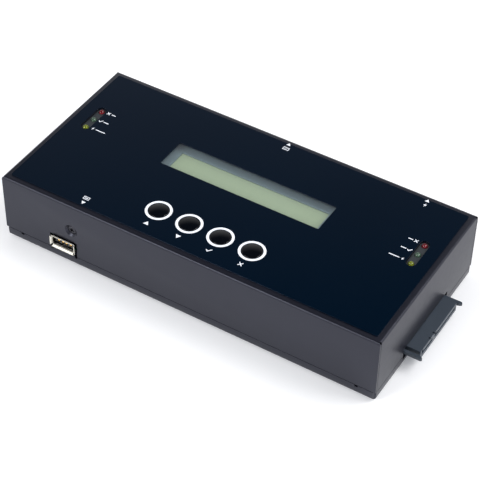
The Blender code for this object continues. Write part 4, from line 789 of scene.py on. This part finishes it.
lips = [usb_lip(5.85 * MM, USB_HALF[1], False, 1), usb_lip(5.85 * MM, USB_HALF[1], False, -1),
        usb_lip(2.15 * MM, USB_HALF[0], True, 1), usb_lip(2.15 * MM, USB_HALF[0], True, -1)]
object_of("usb_port_tube", [usb_tube()], NICKEL, "case", ["usb_shell"])
object_of("usb_port_lips", lips, TIN, "case")
object_of("usb_port_tongue", [usb_tongue()], BLACK_PBT, "case", ["usb_tongue"])

# %% [markdown]
# The contacts are what makes a port look real. A drive connector has seven for signals and fifteen
# for power, each a gilded spring in a groove of the moulding. The USB tongue carries four.

# %% Contacts
DRIVE_Z = centre("drive_connector_right").z
DRIVE_KEYWAYS = ((-17.3, 11.0, 7), (-3.9, 21.2, 15))
DRIVE_PITCH, KEYWAY_FOOT = 1.27, 1.4


def spring(path, width):
    """A strip: a path of (out, up) points swept across its width, 0.12 mm thick, as a closed band."""
    path = np.asarray(path, float)
    thick = np.array([0, 0.12 * MM])
    section = [(path, -width / 2), (path, width / 2), (path - thick, width / 2), (path - thick, -width / 2)]
    grid = np.stack([np.column_stack([p[:, 0], np.full(len(p), w), p[:, 1]]) for p, w in section], 1)
    count = len(path)
    faces = quads(count, 4, wrap_columns=True).tolist()
    faces += [[0, 1, 2, 3], [4 * count - 1, 4 * count - 2, 4 * count - 3, 4 * count - 4]]
    return grid.reshape(-1, 3), faces


def drive_springs(side):
    """Contacts of one connector, out from its wall: the height is -0.78 mm plus a bell curve 0.22 mm
    high where a drive rubs. Each keyway's start, length and count of contacts give their places."""
    out = np.linspace(1.3, 6.0, 14)
    hump = 0.22 * np.exp(-((out - 4.6) / 0.8) ** 2)
    path = np.column_stack([out, -0.78 + hump]) * MM
    strip, faces = spring(path, 0.5 * MM)
    rows = []
    for first, length, count in DRIVE_KEYWAYS:
        middle = first + KEYWAY_FOOT + (length - KEYWAY_FOOT) / 2
        rows += [middle + (i - (count - 1) / 2) * DRIVE_PITCH for i in range(count)]
    wall = side * CASE_LENGTH / 2
    return [(np.column_stack([wall + side * strip[:, 0], CASE_Y + side * (y * MM + strip[:, 1]),
                              DRIVE_Z + strip[:, 2]]), faces) for y in rows]


def usb_springs():
    """Four contacts on the tongue, at 2.5, 2 and 2.5 mm: humped above it, and bent down over its
    front edge."""
    back = np.linspace(9.5, 1.6, 16)
    top = np.column_stack([back, 0.17 + 0.1 * np.exp(-((back - 5.0) / 1.0) ** 2)])
    bend = arc(0.5, 90, 180, 6) * [0.8, 0.9] + [1.42, -0.28]
    path = np.vstack([top, bend, [(1.02, -1.15)]]) * MM
    strip, faces = spring(path, 1.1 * MM)
    return [(np.column_stack([px * MM + strip[:, 1], strip[:, 0], strip[:, 2]]) + USB_PLACE, faces)
            for px in (-3.5, -1.0, 1.0, 3.5)]


for side_name, side in SIDES:
    object_of(f"drive_contacts_{side_name}", drive_springs(side), GOLD, "case")
object_of("usb_contacts", usb_springs(), GOLD, "case")

# %% [markdown]
# The studio: a white floor, two softboxes and a pale room. The large softbox stands behind the right
# end, so the short shadow falls forwards. The smaller one in front puts a thin line of light on the
# lid's front fold. Rays that show background, seen straight, mirrored or through glass, find the
# room white near the horizon and darker overhead, as in a real studio. That is why the gloss film is
# nearly black from above.

# %% Floor, light and room


def shows_background(tree):
    """1 for a ray that shows the background straight, mirrored or through glass, and 0 for others."""
    path = add(tree, "ShaderNodeLightPath").outputs
    mirrored = add(tree, "ShaderNodeMath", {0: path["Is Camera Ray"], 1: path["Is Glossy Ray"]},
                   operation="MAXIMUM")
    return add(tree, "ShaderNodeMath", {0: mirrored.outputs[0], 1: path["Is Transmission Ray"]},
               operation="MAXIMUM").outputs[0]


def floor_finish():
    """Matt white paper that keeps the object's shadow, and fades into the room's white far out: a
    faint cool lift near the object, and plain white from 0.25 to 0.9 m away."""
    material, tree, shader = finish_of("white_paper_floor", Roughness=0.9, Specular_IOR_Level=0.1)
    tree.links.new(blend_colours(tree, speckle(tree, 40 * MM), "#EDEDEE", "#F2F2F3"),
                   shader.inputs["Base Color"])
    seen = shows_background(tree)
    lift = add(tree, "ShaderNodeEmission", {"Strength": between(tree, seen, 0.0, 0.20)},
               {"Color": (0.88, 0.92, 1.0, 1)})
    lit = add(tree, "ShaderNodeAddShader", {0: shader.outputs[0], 1: lift.outputs[0]})
    white = add(tree, "ShaderNodeEmission", values={"Color": (1, 1, 1, 1), "Strength": 1.0})
    place = add(tree, "ShaderNodeTexCoord")
    reach = add(tree, "ShaderNodeVectorMath", {0: place.outputs["Object"]}, operation="LENGTH")
    far = add(tree, "ShaderNodeMapRange", {"Value": reach.outputs["Value"]},
              {"From Min": 0.25, "From Max": 0.9}, interpolation_type="SMOOTHSTEP")
    share = add(tree, "ShaderNodeMath", {0: far.outputs[0], 1: seen}, operation="MULTIPLY")
    both = add(tree, "ShaderNodeMixShader", {0: share.outputs[0], 1: lit.outputs[0], 2: white.outputs[0]})
    tree.links.new(both.outputs[0], tree.nodes["Material Output"].inputs["Surface"])
    return material


def floor_mesh(reach=6.0, count=9):
    """A flat square grid at height 0."""
    line = np.linspace(-reach, reach, count)
    x, y = np.meshgrid(line, line)
    points = np.stack([x, y, np.zeros_like(x)], -1).reshape(-1, 3)
    mesh = bpy.data.meshes.new("studio_floor")
    mesh.from_pydata(points.tolist(), [], quads(count, count).tolist())
    return mesh


floor = bpy.data.objects.new("studio_floor", floor_mesh())
floor.data.materials.append(floor_finish())
bpy.context.scene.collection.objects.link(floor)


def softbox(name, place, aim, size, watts):
    """A square area lamp, size metres wide, that looks from its place to a point."""
    lamp = bpy.data.lights.new(name, "AREA")
    lamp.size, lamp.energy = size, watts
    obj = bpy.data.objects.new(name, lamp)
    obj.location = place
    obj.rotation_euler = (Vector(aim) - Vector(place)).to_track_quat("-Z", "Y").to_euler()
    bpy.context.scene.collection.objects.link(obj)
    return obj


MIDDLE = (0, 0, 0)
softbox("rear_right_softbox", (0.80, 0.45, 1.15), MIDDLE, size=0.8, watts=13.0)
softbox("front_left_softbox", (-0.50, -0.93, 0.86), MIDDLE, size=0.6, watts=9.0)


def room():
    """World light: a plain glow for diffuse rays; for rays that show background, white up to 12 degrees
    above the horizon and falling to dark at 46 degrees."""
    world = bpy.data.worlds.new("pale_room")
    world.use_nodes = True
    tree = world.node_tree
    tree.nodes.clear()
    direction = add(tree, "ShaderNodeTexCoord")
    up = add(tree, "ShaderNodeSeparateXYZ", {0: direction.outputs["Generated"]})
    fall = add(tree, "ShaderNodeMapRange", {"Value": up.outputs["Z"]},
               {"From Min": math.sin(math.radians(12)), "From Max": math.sin(math.radians(46)),
                "To Min": 1.0, "To Max": 0.01})
    shown = add(tree, "ShaderNodeBackground", {"Strength": fall.outputs[0]}, {"Color": (1, 1, 1, 1)})
    glow = add(tree, "ShaderNodeBackground", values={"Color": (1, 1, 1, 1), "Strength": 0.6})
    both = add(tree, "ShaderNodeMixShader",
               {0: shows_background(tree), 1: glow.outputs[0], 2: shown.outputs[0]})
    add(tree, "ShaderNodeOutputWorld", {"Surface": both.outputs[0]})
    return world


bpy.context.scene.world = room()
print("floor, softboxes and room are in place")
